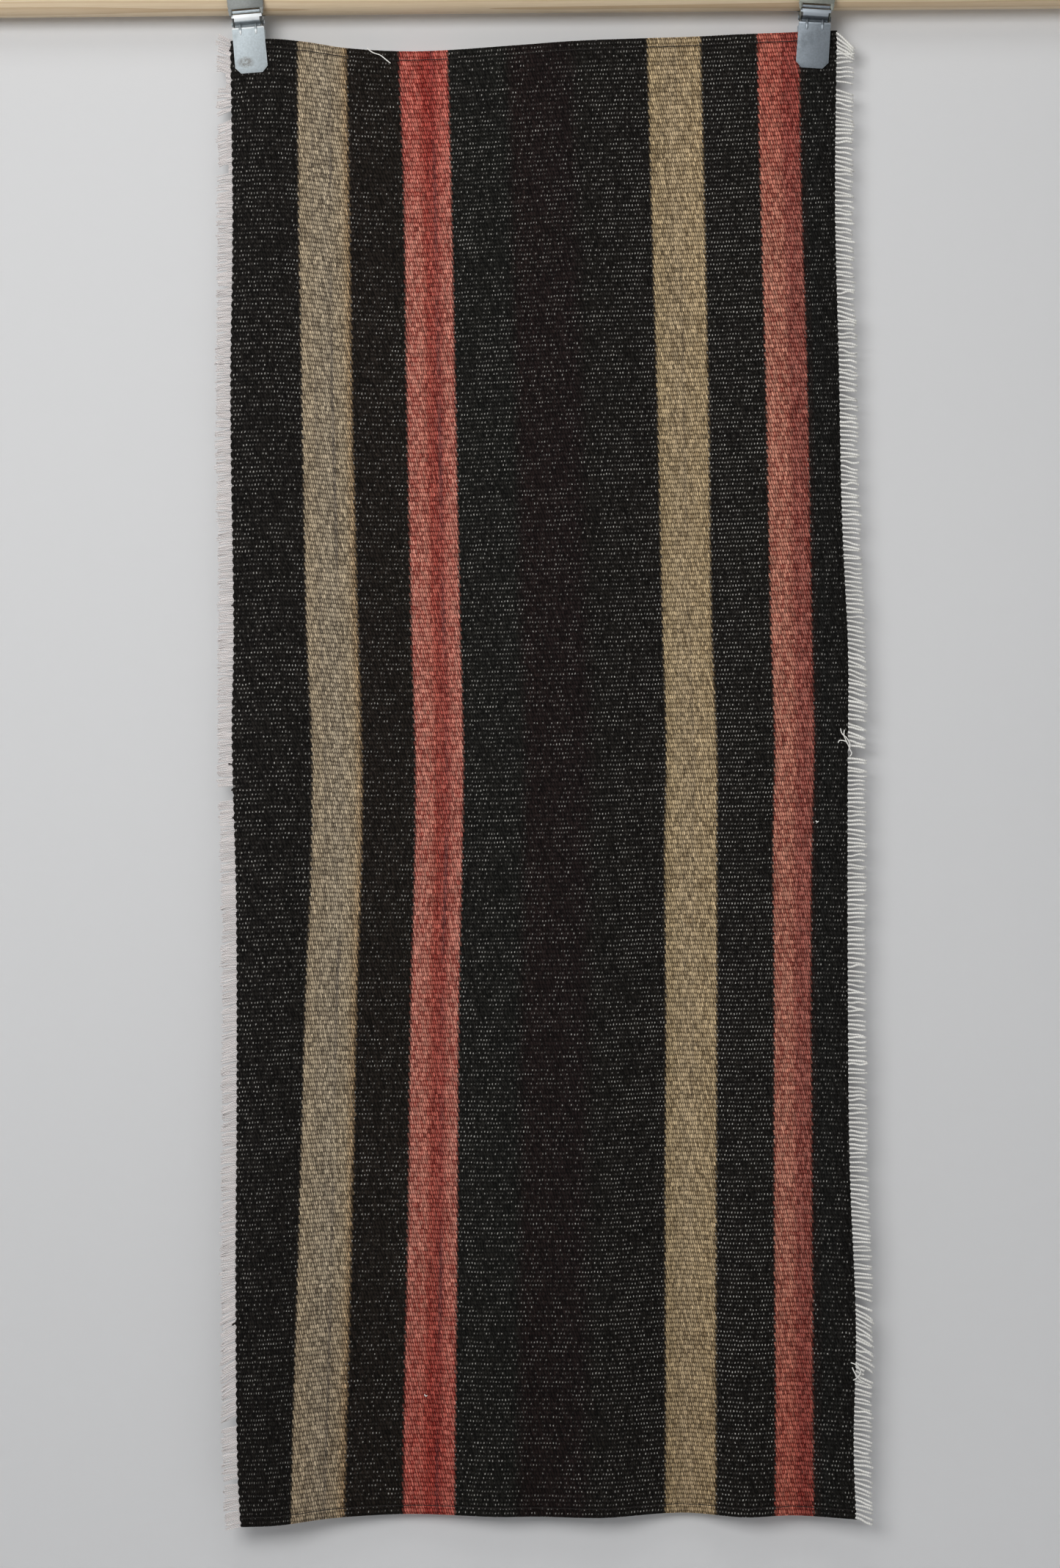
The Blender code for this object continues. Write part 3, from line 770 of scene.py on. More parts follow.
class RUG_OT_cloth(bpy.types.Operator):
    """Weave the rug's cloth in its folds, with both hems turned to the back"""

    bl_idname = "kilim.cloth"
    bl_label = "Kilim Cloth"

    edge_round = 2.0 * MM
    side_round = 1.0 * MM
    scallop = 0.6 * MM

    def execute(self, context):
        settings = context.scene.kilim_rug
        columns = self.columns()
        rows = self.rows()
        x, y, z = self.middle_layer(columns, rows, settings)
        front, back = self.faces_of_cloth(x, y, z, settings)
        points, quads, places = self.closed_sheet(front, back, columns, rows)
        cloth = new_piece("kilim_cloth", points, quads, make_wool(), "wool", "kilim_rug")
        weave = cloth.data.attributes.new("weave", "FLOAT_VECTOR", "POINT")
        weave.data.foreach_set("vector", [value for place in places for value in place])
        return {"FINISHED"}

    def columns(self):
        """The pairs at which the grid has a column, closer at both sides."""
        pairs = []
        for band, count in enumerate(BAND_COLUMNS):
            low, high = BAND_PAIRS[band], BAND_PAIRS[band + 1]
            pairs += [low + (high - low) * i / count for i in range(count)]
        return [0.0, 0.12, 0.42, *pairs[1:], PAIRS - 0.42, PAIRS - 0.12, float(PAIRS)]

    def rows(self):
        """The warps at which the grid has a row, two for each warp and closer at the hems."""
        inner = [0.5 * i for i in range(2, 2 * WARPS - 1)]
        return [0.0, 0.06, 0.22, 0.5, *inner, WARPS - 0.5, WARPS - 0.22, WARPS - 0.06, float(WARPS)]

    def middle_layer(self, columns, rows, settings):
        x = np.zeros((len(rows), len(columns)))
        y = np.zeros_like(x)
        z = np.zeros_like(x)
        for r, warp in enumerate(rows):
            down = warp / WARPS
            lines = band_lines(down)
            for c, pair in enumerate(columns):
                place = float(np.interp(pair, BAND_PAIRS, lines))
                x[r, c] = place
                y[r, c], z[r, c] = middle_surface(
                    place, down, lines[0], lines[-1], settings.waviness
                )
        warps = np.array(rows)
        bumps = 2 * np.abs(np.cos(math.pi * warps / 2)) - 1
        for column, reach in ((0, -1.0), (1, -1.0), (-2, 0.6), (-1, 0.6)):
            x[:, column] += reach * self.scallop * bumps
        return x, y, z

    def faces_of_cloth(self, x, y, z, settings):
        """The front and the back faces, each set off from the middle along its normal."""
        slope = np.gradient(y, axis=1) / np.gradient(x, axis=1)
        normal_x = slope / np.sqrt(1 + slope**2)
        normal_y = -1 / np.sqrt(1 + slope**2)
        from_hem = np.minimum(np.abs(z - z[0]), np.abs(z - z[-1]))
        from_side = np.minimum(np.abs(x - x[:, :1]), np.abs(x - x[:, -1:]))
        in_hem = from_hem < settings.hem_width
        thick = np.where(in_hem, settings.hem_thickness, settings.thickness)
        set_back = (thick - settings.thickness) / 2
        hem_share = np.clip(1 - from_hem / self.edge_round, 0, 1)
        side_share = np.clip(1 - from_side / self.side_round, 0, 1)
        full = np.sqrt(1 - hem_share**2) * np.sqrt(1 - side_share**2)
        faces = []
        for side in (1, -1):
            away = side * thick / 2 * full - set_back
            faces.append(np.stack((x + normal_x * away, y + normal_y * away, z), axis=-1))
        return faces

    def closed_sheet(self, front, back, columns, rows):
        """One closed grid whose front and back share their outermost points."""
        high, wide = len(rows), len(columns)
        points = [tuple(point) for point in front.reshape(-1, 3)]
        places = [(pair, warp, 0.0) for warp in rows for pair in columns]
        index = np.arange(high * wide).reshape(high, wide)
        behind = index.copy()
        for r in range(1, high - 1):
            for c in range(1, wide - 1):
                behind[r, c] = len(points)
                points.append(tuple(back[r, c]))
                places.append((columns[c], rows[r], 1.0))
        quads = []
        for r in range(high - 1):
            for c in range(wide - 1):
                a, b, d, e = (int(index[r + i, c + k]) for i, k in ((0, 0), (0, 1), (1, 1), (1, 0)))
                quads.append((a, e, d, b))
                a, b, d, e = (int(behind[r + i, c + k]) for i, k in ((0, 0), (0, 1), (1, 1), (1, 0)))
                quads.append((a, b, d, e))
        return points, quads, places


class RUG_OT_fringes(bpy.types.Operator):
    """Draw out the cut warp ends along both long sides"""

    bl_idname = "kilim.fringes"
    bl_label = "Fringes"

    # Stretches with missing or short ends: (side, first warp, last warp, share of length kept).
    gaps = (
        (-1, 8, 10, 0.35), (-1, 16, 17, 0.0), (-1, 28, 29, 0.25), (-1, 169, 171, 0.0),
        (-1, 311, 312, 0.0), (-1, 325, 325, 0.0), (1, 12, 12, 0.0), (1, 162, 163, 0.0),
        (1, 286, 286, 0.0), (1, 301, 302, 0.5),
    )
    # How the ends lean down each side: (share of the way down, rise of the tip over its length).
    leans = {
        -1: (
            (0, 0.5), (0.02, 0.35), (0.033, 0.1), (0.045, -0.3), (0.085, -0.25), (0.11, -0.03),
            (0.5, 0.0), (0.54, -0.1), (0.83, -0.12), (0.86, -0.4), (0.92, -0.38), (0.94, -0.1), (1, -0.12),
        ),
        1: (
            (0, -0.75), (0.01, -0.6), (0.018, 0.25), (0.026, 0.1), (0.04, -0.3), (0.06, 0.0),
            (0.1, -0.12), (0.3, -0.1), (0.33, 0.0), (0.385, 0.0), (0.41, -0.22), (0.48, -0.22),
            (0.5, 0.05), (0.68, 0.03), (0.84, -0.05), (0.857, -0.5), (0.89, -0.5), (0.92, -0.12),
            (0.97, -0.2), (1, -0.35),
        ),
    }

    def execute(self, context):
        settings = context.scene.kilim_rug
        bright = tuple(settings.cotton_color)
        # The left fringe takes a darker, pinker copy of the cotton: painted shade.
        shaded_cotton = tuple(value * share for value, share in zip(bright, (0.9, 0.86, 0.89)))
        for side, name, color in ((-1, "left", shaded_cotton), (1, "right", bright)):
            cotton = make_yarn(f"cotton_warp_{name}", color, 0.55, 0.06 * MM, 0.8)
            generator = random.Random(settings.seed + side)
            threads = ThreadMesh(sides=6)
            for warp in range(WARPS):
                self.add_warp(threads, side, warp, generator, settings)
            threads.piece(f"fringe_threads_{name}", cotton, "cotton", f"fringe_{name}")
        return {"FINISHED"}

    def kept_share(self, side, warp):
        for gap_side, first, last, share in self.gaps:
            if gap_side == side and first <= warp <= last:
                return share
        return 1.0

    def add_warp(self, threads, side, warp, generator, settings):
        """One cut warp: neighbours draw together at their tips, and on the left it parts in three."""
        shares, rises = zip(*self.leans[side])
        lean = float(np.interp(warp / WARPS, shares, rises))
        lean += 0.16 * noise.noise(Vector((warp * 0.23, side * 7.7, 1.0))) + generator.gauss(0.0, 0.04)
        pair = noise.cell(Vector(((warp + 0.5) // 2, side * 2.0, 0.0)))
        lean += (0.08 if warp % 2 else -0.08) * max(pair, 0.0)
        length = settings.fringe_length * generator.gauss(1.0, 0.05) * self.kept_share(side, warp)
        if length < 1.0 * MM:
            return
        radius = settings.thread_radius * generator.uniform(0.92, 1.12)
        if side > 0:
            self.add_end(threads, side, warp + 0.5, lean, length * 1.07, radius * 1.16, generator, settings)
            return
        for part in (-0.32, 0.0, 0.32):
            shorter = length * generator.uniform(0.84, 0.95)
            turn = lean + generator.gauss(0.0, 0.035)
            self.add_end(threads, side, warp + 0.5 + part, turn, shorter, radius * 0.76, generator, settings)

    def add_end(self, threads, side, warp, lean, length, radius, generator, settings):
        droop = 0.05 + 0.08 * generator.random()
        curl = generator.gauss(0.0, 0.022)
        tone = generator.uniform(0.84, 1.04)
        forward = generator.gauss(0.0, 0.06)
        pair = 0.5 if side < 0 else PAIRS - 0.5
        root = surface_point(pair, warp, settings.waviness)
        inner = surface_point(pair - side * 4, warp, settings.waviness)
        out = Vector((root.x - inner.x, root.y - inner.y, 0)).normalized()
        path = []
        steps = 6
        for i in range(steps + 1):
            t = i / steps
            fall = lean * t - droop * t * t + curl * math.sin(t * 7)
            place = root + out * (length + 1.2 * MM) * t * (1 - 0.15 * abs(lean) * t)
            place.z += fall * length
            place.y += forward * length * t * t
            path.append(place)
        threads.add(path, radius, tone, tip=0.92)


class RUG_OT_trimmings(bpy.types.Operator):
    """Sew the hems, and lay the loose threads and lint that the rug carries"""

    bl_idname = "kilim.trimmings"
    bl_label = "Stitching and Loose Threads"

    stitch = 3.0 * MM
    thread = 0.32 * MM
    # Loose cotton on the face and the right side: points as (x, z) in mm with a height off the cloth.
    loose = (
        (
            (-117.5, -37.2, 0.5), (-113, -40.5, 1.0), (-108, -42.0, 0.7),
            (-103.5, -45.5, 0.9), (-100, -48.2, 0.4),
        ),
        (
            (238.5, -568.0, 0.6), (239.5, -563, 1.6), (236.8, -558, 2.2),
            (233.6, -555, 1.9), (232.6, -551, 1.2),
        ),
        ((238.8, -565.0, 1.0), (236.5, -561, 2.4), (232.0, -560, 2.0), (230.6, -562, 1.2)),
        ((237.5, -562.0, 1.2), (235.0, -556.5, 2.6), (235.4, -552.0, 1.6)),
        ((239.6, -567.0, 0.9), (240.6, -570, 1.6), (239.0, -572.4, 1.2)),
        (
            (236.0, -1025.0, 0.4), (240.5, -1027, 1.6), (243.0, -1032, 1.8),
            (240.0, -1036.5, 1.5), (237.5, -1038.0, 0.8),
        ),
        ((237.0, -1028.5, 0.8), (239.0, -1033, 2.2), (242.5, -1037.5, 1.8), (246.0, -1039.5, 1.0)),
        ((-83.2, -1048.2, 0.3), (-82.4, -1049.4, 0.9), (-81.0, -1049.0, 0.4)),
        ((213.8, -620.0, 0.3), (214.6, -621.0, 0.8), (215.8, -620.2, 0.3)),
    )
    # Dark ends of weft along the left side: (warp, reach in mm, drop in mm).
    dark_ends = (
        (128, 2.6, 0.4), (164, 4.2, -0.3), (169.5, 2.2, 1.6),
        (176, 2.4, 0.5), (290, 3.6, 1.8), (2.5, 1.8, -1.0),
    )

    def execute(self, context):
        settings = context.scene.kilim_rug
        self.sew_hems(settings)
        self.lay_loose_cotton(settings)
        self.lay_dark_ends(settings)
        return {"FINISHED"}

    def on_face(self, x, z, height, settings):
        """A point at a height in front of the cloth's front face."""
        top, bottom = -34 * MM, -1141 * MM
        down = (z - top) / (bottom - top)
        lines = band_lines(min(max(down, 0.0), 1.0))
        for _ in range(3):
            _, reached = middle_surface(x, down, lines[0], lines[-1], settings.waviness)
            down += (z - reached) / (bottom - top)
        y, _ = middle_surface(x, down, lines[0], lines[-1], settings.waviness)
        return Vector((x, y - settings.thickness / 2 - height, z))

    def sew_hems(self, settings):
        black = make_yarn("sewing_thread", tuple(settings.stitch_color), 1.2, 0.05 * MM, 0.6)
        threads = ThreadMesh(sides=5)
        inset = settings.stitch_inset / (1110 * MM / WARPS)
        for warp in (inset, WARPS - inset):
            count = int(460 * MM / self.stitch)
            for i in range(count):
                self.sew_one(threads, warp, i / count * PAIRS, PAIRS / count, settings)
        threads.piece("hem_stitching", black, "wool")

    def sew_one(self, threads, warp, start, span, settings):
        """One stitch: it rises out of the cloth, lies on it and dives back in."""
        path = []
        for share, height in ((0.0, -0.25), (0.12, 0.1), (0.5, 0.2), (0.88, 0.1), (0.98, -0.25)):
            pair = min(start + span * share + 0.2, PAIRS - 0.3)
            wander = 0.12 * noise.noise(Vector((pair * 0.2, warp, 2.0)))
            point = surface_point(pair, warp + wander, settings.waviness)
            point.y -= settings.thickness / 2 + height * MM
            path.append(point)
        threads.add(path, self.thread, 1.0, tip=0.9)

    def lay_loose_cotton(self, settings):
        cotton = bpy.data.materials["cotton_warp_right"]
        threads = ThreadMesh(sides=6)
        for points in self.loose:
            anchors = [self.on_face(x * MM, z * MM, h * MM, settings) for x, z, h in points]
            threads.add(smooth_path(anchors, 4), 0.42 * MM, 1.05, tip=0.5)
        threads.piece("loose_cotton", cotton, "cotton")

    def lay_dark_ends(self, settings):
        wool = make_yarn("dark_weft_ends", (0.03, 0.022, 0.02), 0.5, 0.1 * MM, 0.5)
        threads = ThreadMesh(sides=6)
        for warp, reach, drop in self.dark_ends:
            root = surface_point(0.4, warp, settings.waviness)
            path = [
                root + Vector((-reach * MM * t, -0.6 * MM * t, -drop * MM * t * t))
                for t in (0.0, 0.3, 0.6, 0.85, 1.0)
            ]
            threads.add(path, 0.7 * MM, 1.0, tip=0.35)
        threads.piece("dark_ends", wool, "wool")


def smooth_path(anchors, steps):
    """Points along a smooth curve through the anchors."""
    path = []
    last = len(anchors) - 1
    for i in range(last):
        before, low = anchors[max(i - 1, 0)], anchors[i]
        high, after = anchors[i + 1], anchors[min(i + 2, last)]
        for step in range(steps):
            t = step / steps
            path.append(
                0.5 * (
                    2 * low + (high - before) * t
                    + (2 * before - 5 * low + 4 * high - after) * t**2
                    + (3 * low - before - 3 * high + after) * t**3
                )
            )
    path.append(anchors[last])
    return path


class RUG_OT_clips(bpy.types.Operator):
    """Press, bend and pin the two steel clips"""

    bl_idname = "kilim.clips"
    bl_label = "Steel Clips"

    band_radius = 14.7 * MM
    band_half_width = 13.4 * MM
    band_end_z = -10.8 * MM
    ear_middle_x = 10.8 * MM
    ear_rows = ((14.5, -8.6), (14.4, -14.0), (9.9, -14.1), (9.0, -16.6), (7.0, -18.6), (3.4, -20.6))
    bar = (1.1 * MM, -13.3 * MM, -12.8 * MM, 10.3 * MM)
    pin_radius = 1.1 * MM
    pin_z = -18.5 * MM
    pin_room = 0.3 * MM
    head_radius = 1.9 * MM
    head_x = 11.5 * MM
    # A jaw's outer face from tongue to lip: (distance from the rug's plane, z, half width).
    jaw_rows = (
        (12.2, -14.4, 11.5), (11.9, -16.6, 11.5), (11.8, -16.9, 9.5), (11.2, -19.2, 9.5),
        (8.6, -19.9, 9.5), (5.4, -20.2, 9.6), (4.4, -20.7, 9.6), (4.2, -21.3, 9.6),
        (4.6, -22.0, 9.8), (5.8, -22.5, 10.6), (6.8, -22.9, 11.6), (7.0, -23.5, 12.0),
        (6.85, -24.3, 12.0), (3.1, -52.0, 12.2), (2.4, -56.3, 8.0),
    )
    # Painted highlight (up to 1) or painted shade (down to -1) on the jaw's plating, by z from its lip up:
    # light on the ridge and the collar's top, shade in the neck.
    jaw_painted_light = (
        (-24.3, 0.0), (-23.5, 1.0), (-22.5, 1.0), (-22.0, -0.6),
        (-19.6, -1.0), (-19.2, 0.3), (-18.6, 1.0),
    )
    narrow_face = 9e-6
    # Painted highlight on each rib's lower end and painted shade on its upper part, by z.
    rib_painted_light = ((-28.2, 1.0), (-27.0, 0.9), (-26.0, -0.3), (-22.5, -0.9))
    # A flange beside the jaw's collar: (distance in front of the rod's axis, z, half width).
    flange_rows = ((14.3, -10.2, 1.6), (14.3, -12.6, 1.1), (14.2, -14.4, 0.8), (14.1, -15.6, 0.6))
    flange_x = 11.9 * MM
    rib_x = 5.8 * MM

    def execute(self, context):
        settings = context.scene.kilim_clips
        color = tuple(settings.zinc_color)
        # The right clip's jaws take a darker, bluer copy of the zinc with a weaker highlight colour: painted
        # shade.
        shaded_zinc = tuple(value * share for value, share in zip(color, (0.46, 0.47, 0.5)))
        greyed = tuple(value * share for value, share in zip(color, (0.38, 0.36, 0.33)))
        light = tuple(value * share for value, share in zip(color, (0.46, 0.43, 0.36)))
        finishes = {
            "clip_left": make_zinc("zinc_left", color, (0.93, 0.95, 0.96), 0.3, 0.55, (-208.0, -48.5)),
            "clip_right": make_zinc("zinc_right", shaded_zinc, (0.42, 0.47, 0.52), 0.5, 0.45),
        }
        bands = {
            "clip_left": make_zinc("zinc_band_left", greyed, color, 0.3, 0.5),
            "clip_right": make_zinc("zinc_band_right", light, color, 0.3, 0.5),
        }
        for name, (place, angle) in CLIP_PLACES.items():
            pieces = {
                "strap": self.band(settings),
                "bar": self.cross_bar(),
                "pin": self.hinge_pin(),
                "front_jaw": self.jaw(settings, -1),
                "back_jaw": self.jaw(settings, 1),
            }
            for part, piece in pieces.items():
                piece.name = f"{name}_{part}_finished"
                turned = Matrix.Rotation(-math.radians(angle), 4, "Y")
                piece.data.transform(Matrix.Translation((place, 0, 0)) @ turned)
                finish = bands[name] if part == "strap" else finishes[name]
                finish_piece(piece, finish, "zinc_steel", f"{name}_{part}")
        return {"FINISHED"}

    def band(self, settings):
        """The band: half a tube over the rod, its legs drawn down, with an ear inside each side."""
        bpy.ops.object.select_all(action="DESELECT")
        bpy.ops.mesh.primitive_cylinder_add(
            vertices=64, radius=self.band_radius, depth=2 * self.band_half_width,
            end_fill_type="NOTHING", rotation=(0, math.radians(90), 0),
        )
        band = bpy.context.object
        bpy.ops.object.transform_apply(location=True, rotation=True, scale=True)
        bpy.ops.object.mode_set(mode="EDIT")
        bpy.ops.mesh.select_all(action="DESELECT")
        bpy.ops.object.mode_set(mode="OBJECT")
        for vert in band.data.vertices:
            vert.select = vert.co.z < -0.1 * MM
        bpy.ops.object.mode_set(mode="EDIT")
        bpy.ops.mesh.delete(type="VERT")
        bpy.ops.object.mode_set(mode="OBJECT")
        for edge in band.data.edges:
            ends = [band.data.vertices[i].co for i in edge.vertices]
            edge.select = all(abs(end.z) < 0.1 * MM for end in ends)
        bpy.ops.object.mode_set(mode="EDIT")
        bpy.ops.mesh.select_mode(type="EDGE")
        bpy.ops.mesh.extrude_region_move(
            TRANSFORM_OT_translate={"value": (0, 0, self.band_end_z + 2 * MM)}
        )
        bpy.ops.mesh.extrude_region_move(TRANSFORM_OT_translate={"value": (0, 0, -2 * MM)})
        bpy.ops.transform.resize(value=(0.93, 1, 1), center_override=(0, 0, self.band_end_z))
        bpy.ops.mesh.select_all(action="SELECT")
        bpy.ops.mesh.normals_make_consistent(inside=False)
        bpy.ops.object.mode_set(mode="OBJECT")
        self.give_thickness(band, settings.band_steel, 0.18 * MM)
        ears = [self.ear(side, settings) for side in (-1, 1)]
        flanges = [self.flange(side, settings) for side in (-1, 1)]
        return self.joined(band, [*ears, *flanges])

    def ear(self, side, settings):
        rows = [(side * self.ear_middle_x, z * MM, half * MM) for half, z in self.ear_rows]
        ear = self.strip(rows, "Y")
        self.give_thickness(ear, settings.band_steel, 0.15 * MM, offset=0.0)
        # An arch clears the rod, and a hole lets the pin through.
        self.cut_round(ear, self.band_radius - settings.band_steel, 0.0)
        self.cut_round(ear, self.pin_radius + self.pin_room, self.pin_z)
        bpy.ops.object.shade_smooth_by_angle(angle=math.radians(28))
        return ear

    def cut_round(self, piece, radius, z):
        """Cut a round way along X through a piece, at a height."""
        bpy.ops.object.select_all(action="DESELECT")
        bpy.ops.mesh.primitive_cylinder_add(
            vertices=64, radius=radius, depth=4 * self.band_half_width,
            location=(0, 0, z), rotation=(0, math.radians(90), 0),
        )
        cutter = bpy.context.object
        bpy.ops.object.transform_apply(location=True, rotation=True, scale=True)
        only_select(piece)
        cut = piece.modifiers.new("Cut", "BOOLEAN")
        cut.operation = "DIFFERENCE"
        cut.object = cutter
        bpy.ops.object.modifier_apply(modifier="Cut")
        bpy.data.objects.remove(cutter, do_unlink=True)

    def flange(self, side, settings):
        """The narrow end of the band's side, drawn down past its front edge."""
        rows = [(-y * MM, z * MM, half * MM) for y, z, half in self.flange_rows]
        flange = self.strip(rows, "X")
        flange.data.transform(Matrix.Translation((side * self.flange_x, 0, 0)))
        self.give_thickness(flange, settings.band_steel, 0.2 * MM, offset=0.0)
        return flange

    def strip(self, rows, across):
        """A strip drawn out row by row. A row is (place, z, half width) and lies along an axis."""
        wide = Vector((1, 0, 0)) if across == "X" else Vector((0, 1, 0))
        aside = Vector((0, 1, 0)) if across == "X" else Vector((1, 0, 0))
        bpy.ops.object.select_all(action="DESELECT")
        bpy.ops.mesh.primitive_plane_add(size=2)
        strip = bpy.context.object
        bpy.ops.object.mode_set(mode="EDIT")
        bpy.ops.mesh.select_all(action="DESELECT")
        bpy.ops.object.mode_set(mode="OBJECT")
        for vert in strip.data.vertices:
            vert.select = vert.co.y > 0
        bpy.ops.object.mode_set(mode="EDIT")
        bpy.ops.mesh.delete(type="VERT")
        bpy.ops.object.mode_set(mode="OBJECT")
        place, z, half = rows[0]
        for vert, sign in zip(strip.data.vertices, (-1, 1)):
            vert.co = wide * half * sign + aside * place + Vector((0, 0, z))
            vert.select = True
        bpy.ops.object.mode_set(mode="EDIT")
        bpy.ops.mesh.select_mode(type="VERT")
        bpy.ops.mesh.select_all(action="SELECT")
        for (place, z, half), (next_place, next_z, next_half) in zip(rows, rows[1:]):
            step = aside * (next_place - place) + Vector((0, 0, next_z - z))
            bpy.ops.mesh.extrude_region_move(TRANSFORM_OT_translate={"value": step})
            ratio = next_half / half
            stretch = (ratio, 1, 1) if across == "X" else (1, ratio, 1)
            middle = aside * next_place + Vector((0, 0, next_z))
            bpy.ops.transform.resize(value=stretch, center_override=middle)
        bpy.ops.object.mode_set(mode="OBJECT")
        return strip

    def give_thickness(self, piece, thickness, edge, offset=-1.0):
        only_select(piece)
        solidify = piece.modifiers.new("Solidify", "SOLIDIFY")
        solidify.thickness = thickness
        solidify.offset = offset
        solidify.use_even_offset = True
        bevel = piece.modifiers.new("Bevel", "BEVEL")
        bevel.width = edge
        bevel.segments = 2
        bevel.limit_method = "ANGLE"
        bevel.angle_limit = math.radians(25)
        bpy.ops.object.modifier_apply(modifier="Solidify")
        bpy.ops.object.modifier_apply(modifier="Bevel")
        bpy.ops.object.shade_smooth_by_angle(angle=math.radians(28))

    def joined(self, piece, others):
        bpy.ops.object.select_all(action="DESELECT")
        for other in others:
            other.select_set(True)
        piece.select_set(True)
        bpy.context.view_layer.objects.active = piece
        bpy.ops.object.join()
        return bpy.context.object

    def turned_piece(self, radius, half_length, x, y, z, edge):
        """A short rod along X with eased ends."""
        bpy.ops.object.select_all(action="DESELECT")
        bpy.ops.mesh.primitive_cylinder_add(
            vertices=24, radius=radius, depth=2 * half_length,
            location=(x, y, z), rotation=(0, math.radians(90), 0),
        )
        piece = bpy.context.object
        bpy.ops.object.transform_apply(location=True, rotation=True, scale=True)
        bevel = piece.modifiers.new("Bevel", "BEVEL")
        bevel.width = edge
        bevel.segments = 3
        bevel.limit_method = "ANGLE"
        bevel.angle_limit = math.radians(50)
        bpy.ops.object.modifier_apply(modifier="Bevel")
        bpy.ops.object.shade_smooth_by_angle(angle=math.radians(40))
        return piece

    def cross_bar(self):
        radius, y, z, half = self.bar
        return self.turned_piece(radius, half, 0, y, z, 0.4 * MM)

    def hinge_pin(self):
        pin = self.turned_piece(self.pin_radius, self.head_x, 0, 0, self.pin_z, 0.1 * MM)
        heads = [
            self.turned_piece(
                self.head_radius, 0.45 * MM, side * (self.head_x + 0.4 * MM), 0, self.pin_z, 0.3 * MM
            )
            for side in (-1, 1)
        ]
        return self.joined(pin, heads)

    def jaw(self, settings, face):
        rows = [(face * y * MM, z * MM, half * MM) for y, z, half in self.jaw_rows]
        jaw = self.strip(rows, "X")
        only_select(jaw)
        if face < 0:
            bpy.ops.object.mode_set(mode="EDIT")
            bpy.ops.mesh.select_all(action="SELECT")
            bpy.ops.mesh.flip_normals()
            bpy.ops.object.mode_set(mode="OBJECT")
        self.give_thickness(jaw, settings.jaw_steel, 0.4 * MM)
        self.mark_painted_light(jaw, self.jaw_painted_light)
        ribs = [self.rib(side, face) for side in (-1, 1)]
        return self.joined(jaw, ribs)

    def mark_painted_light(self, piece, rows):
        """Keep on each point how much painted highlight or painted shade the plating gets at its height."""
        heights, values = zip(*rows)
        painted_light = piece.data.attributes.new("painted_light", "FLOAT", "POINT")
        for vert, mark in zip(piece.data.vertices, painted_light.data):
            mark.value = float(np.interp(vert.co.z / MM, heights, values))
        self.paint_edge_highlights(piece, painted_light)

    def paint_edge_highlights(self, piece, painted_light):
        """Painted highlight on the points that only narrow, eased faces meet, where the bevelled edges would
        catch the light.
        """
        largest = [0.0] * len(piece.data.vertices)
        for face in piece.data.polygons:
            for corner in face.vertices:
                largest[corner] = max(largest[corner], face.area)
        for vert, area, mark in zip(piece.data.vertices, largest, painted_light.data):
            if area < self.narrow_face and vert.co.z < -25 * MM:
                mark.value = 1.0

    def rib(self, side, face):
        """A pressed rib that stiffens the bend between the neck and the plate."""
        bpy.ops.object.select_all(action="DESELECT")
        bpy.ops.mesh.primitive_uv_sphere_add(segments=20, ring_count=12, radius=1.1 * MM)
        rib = bpy.context.object
        bpy.ops.object.mode_set(mode="EDIT")
        bpy.ops.mesh.select_all(action="SELECT")
        bpy.ops.transform.resize(value=(1, 0.9, 3.7), center_override=(0, 0, 0))
        bpy.ops.transform.translate(value=(side * self.rib_x, face * 6.6 * MM, -24.4 * MM))
        bpy.ops.object.mode_set(mode="OBJECT")
        bpy.ops.object.shade_smooth()
        self.mark_painted_light(rib, self.rib_painted_light)
        return rib


class RUG_OT_rod(bpy.types.Operator):
    """Cut the wooden rod and ease its ends"""

    bl_idname = "kilim.rod"
    bl_label = "Wooden Rod"

    def execute(self, context):
        settings = context.scene.kilim_rod
        low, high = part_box("rod")
        bpy.ops.object.select_all(action="DESELECT")
        bpy.ops.mesh.primitive_cylinder_add(
            vertices=96, radius=(high.z - low.z) / 2, depth=high.x - low.x,
            location=(low + high) / 2, rotation=(0, math.radians(90), 0),
        )
        rod = bpy.context.object
        rod.name = "pine_rod"
        bpy.ops.object.transform_apply(location=True, rotation=True, scale=True)
        bevel = rod.modifiers.new("Bevel", "BEVEL")
        bevel.width = settings.chamfer
        bevel.segments = 3
        bevel.limit_method = "ANGLE"
        bevel.angle_limit = math.radians(40)
        bpy.ops.object.modifier_apply(modifier="Bevel")
        bpy.ops.object.shade_smooth_by_angle(angle=math.radians(40))
        finish_piece(rod, make_pine(settings), "pine", "rod")
        return {"FINISHED"}


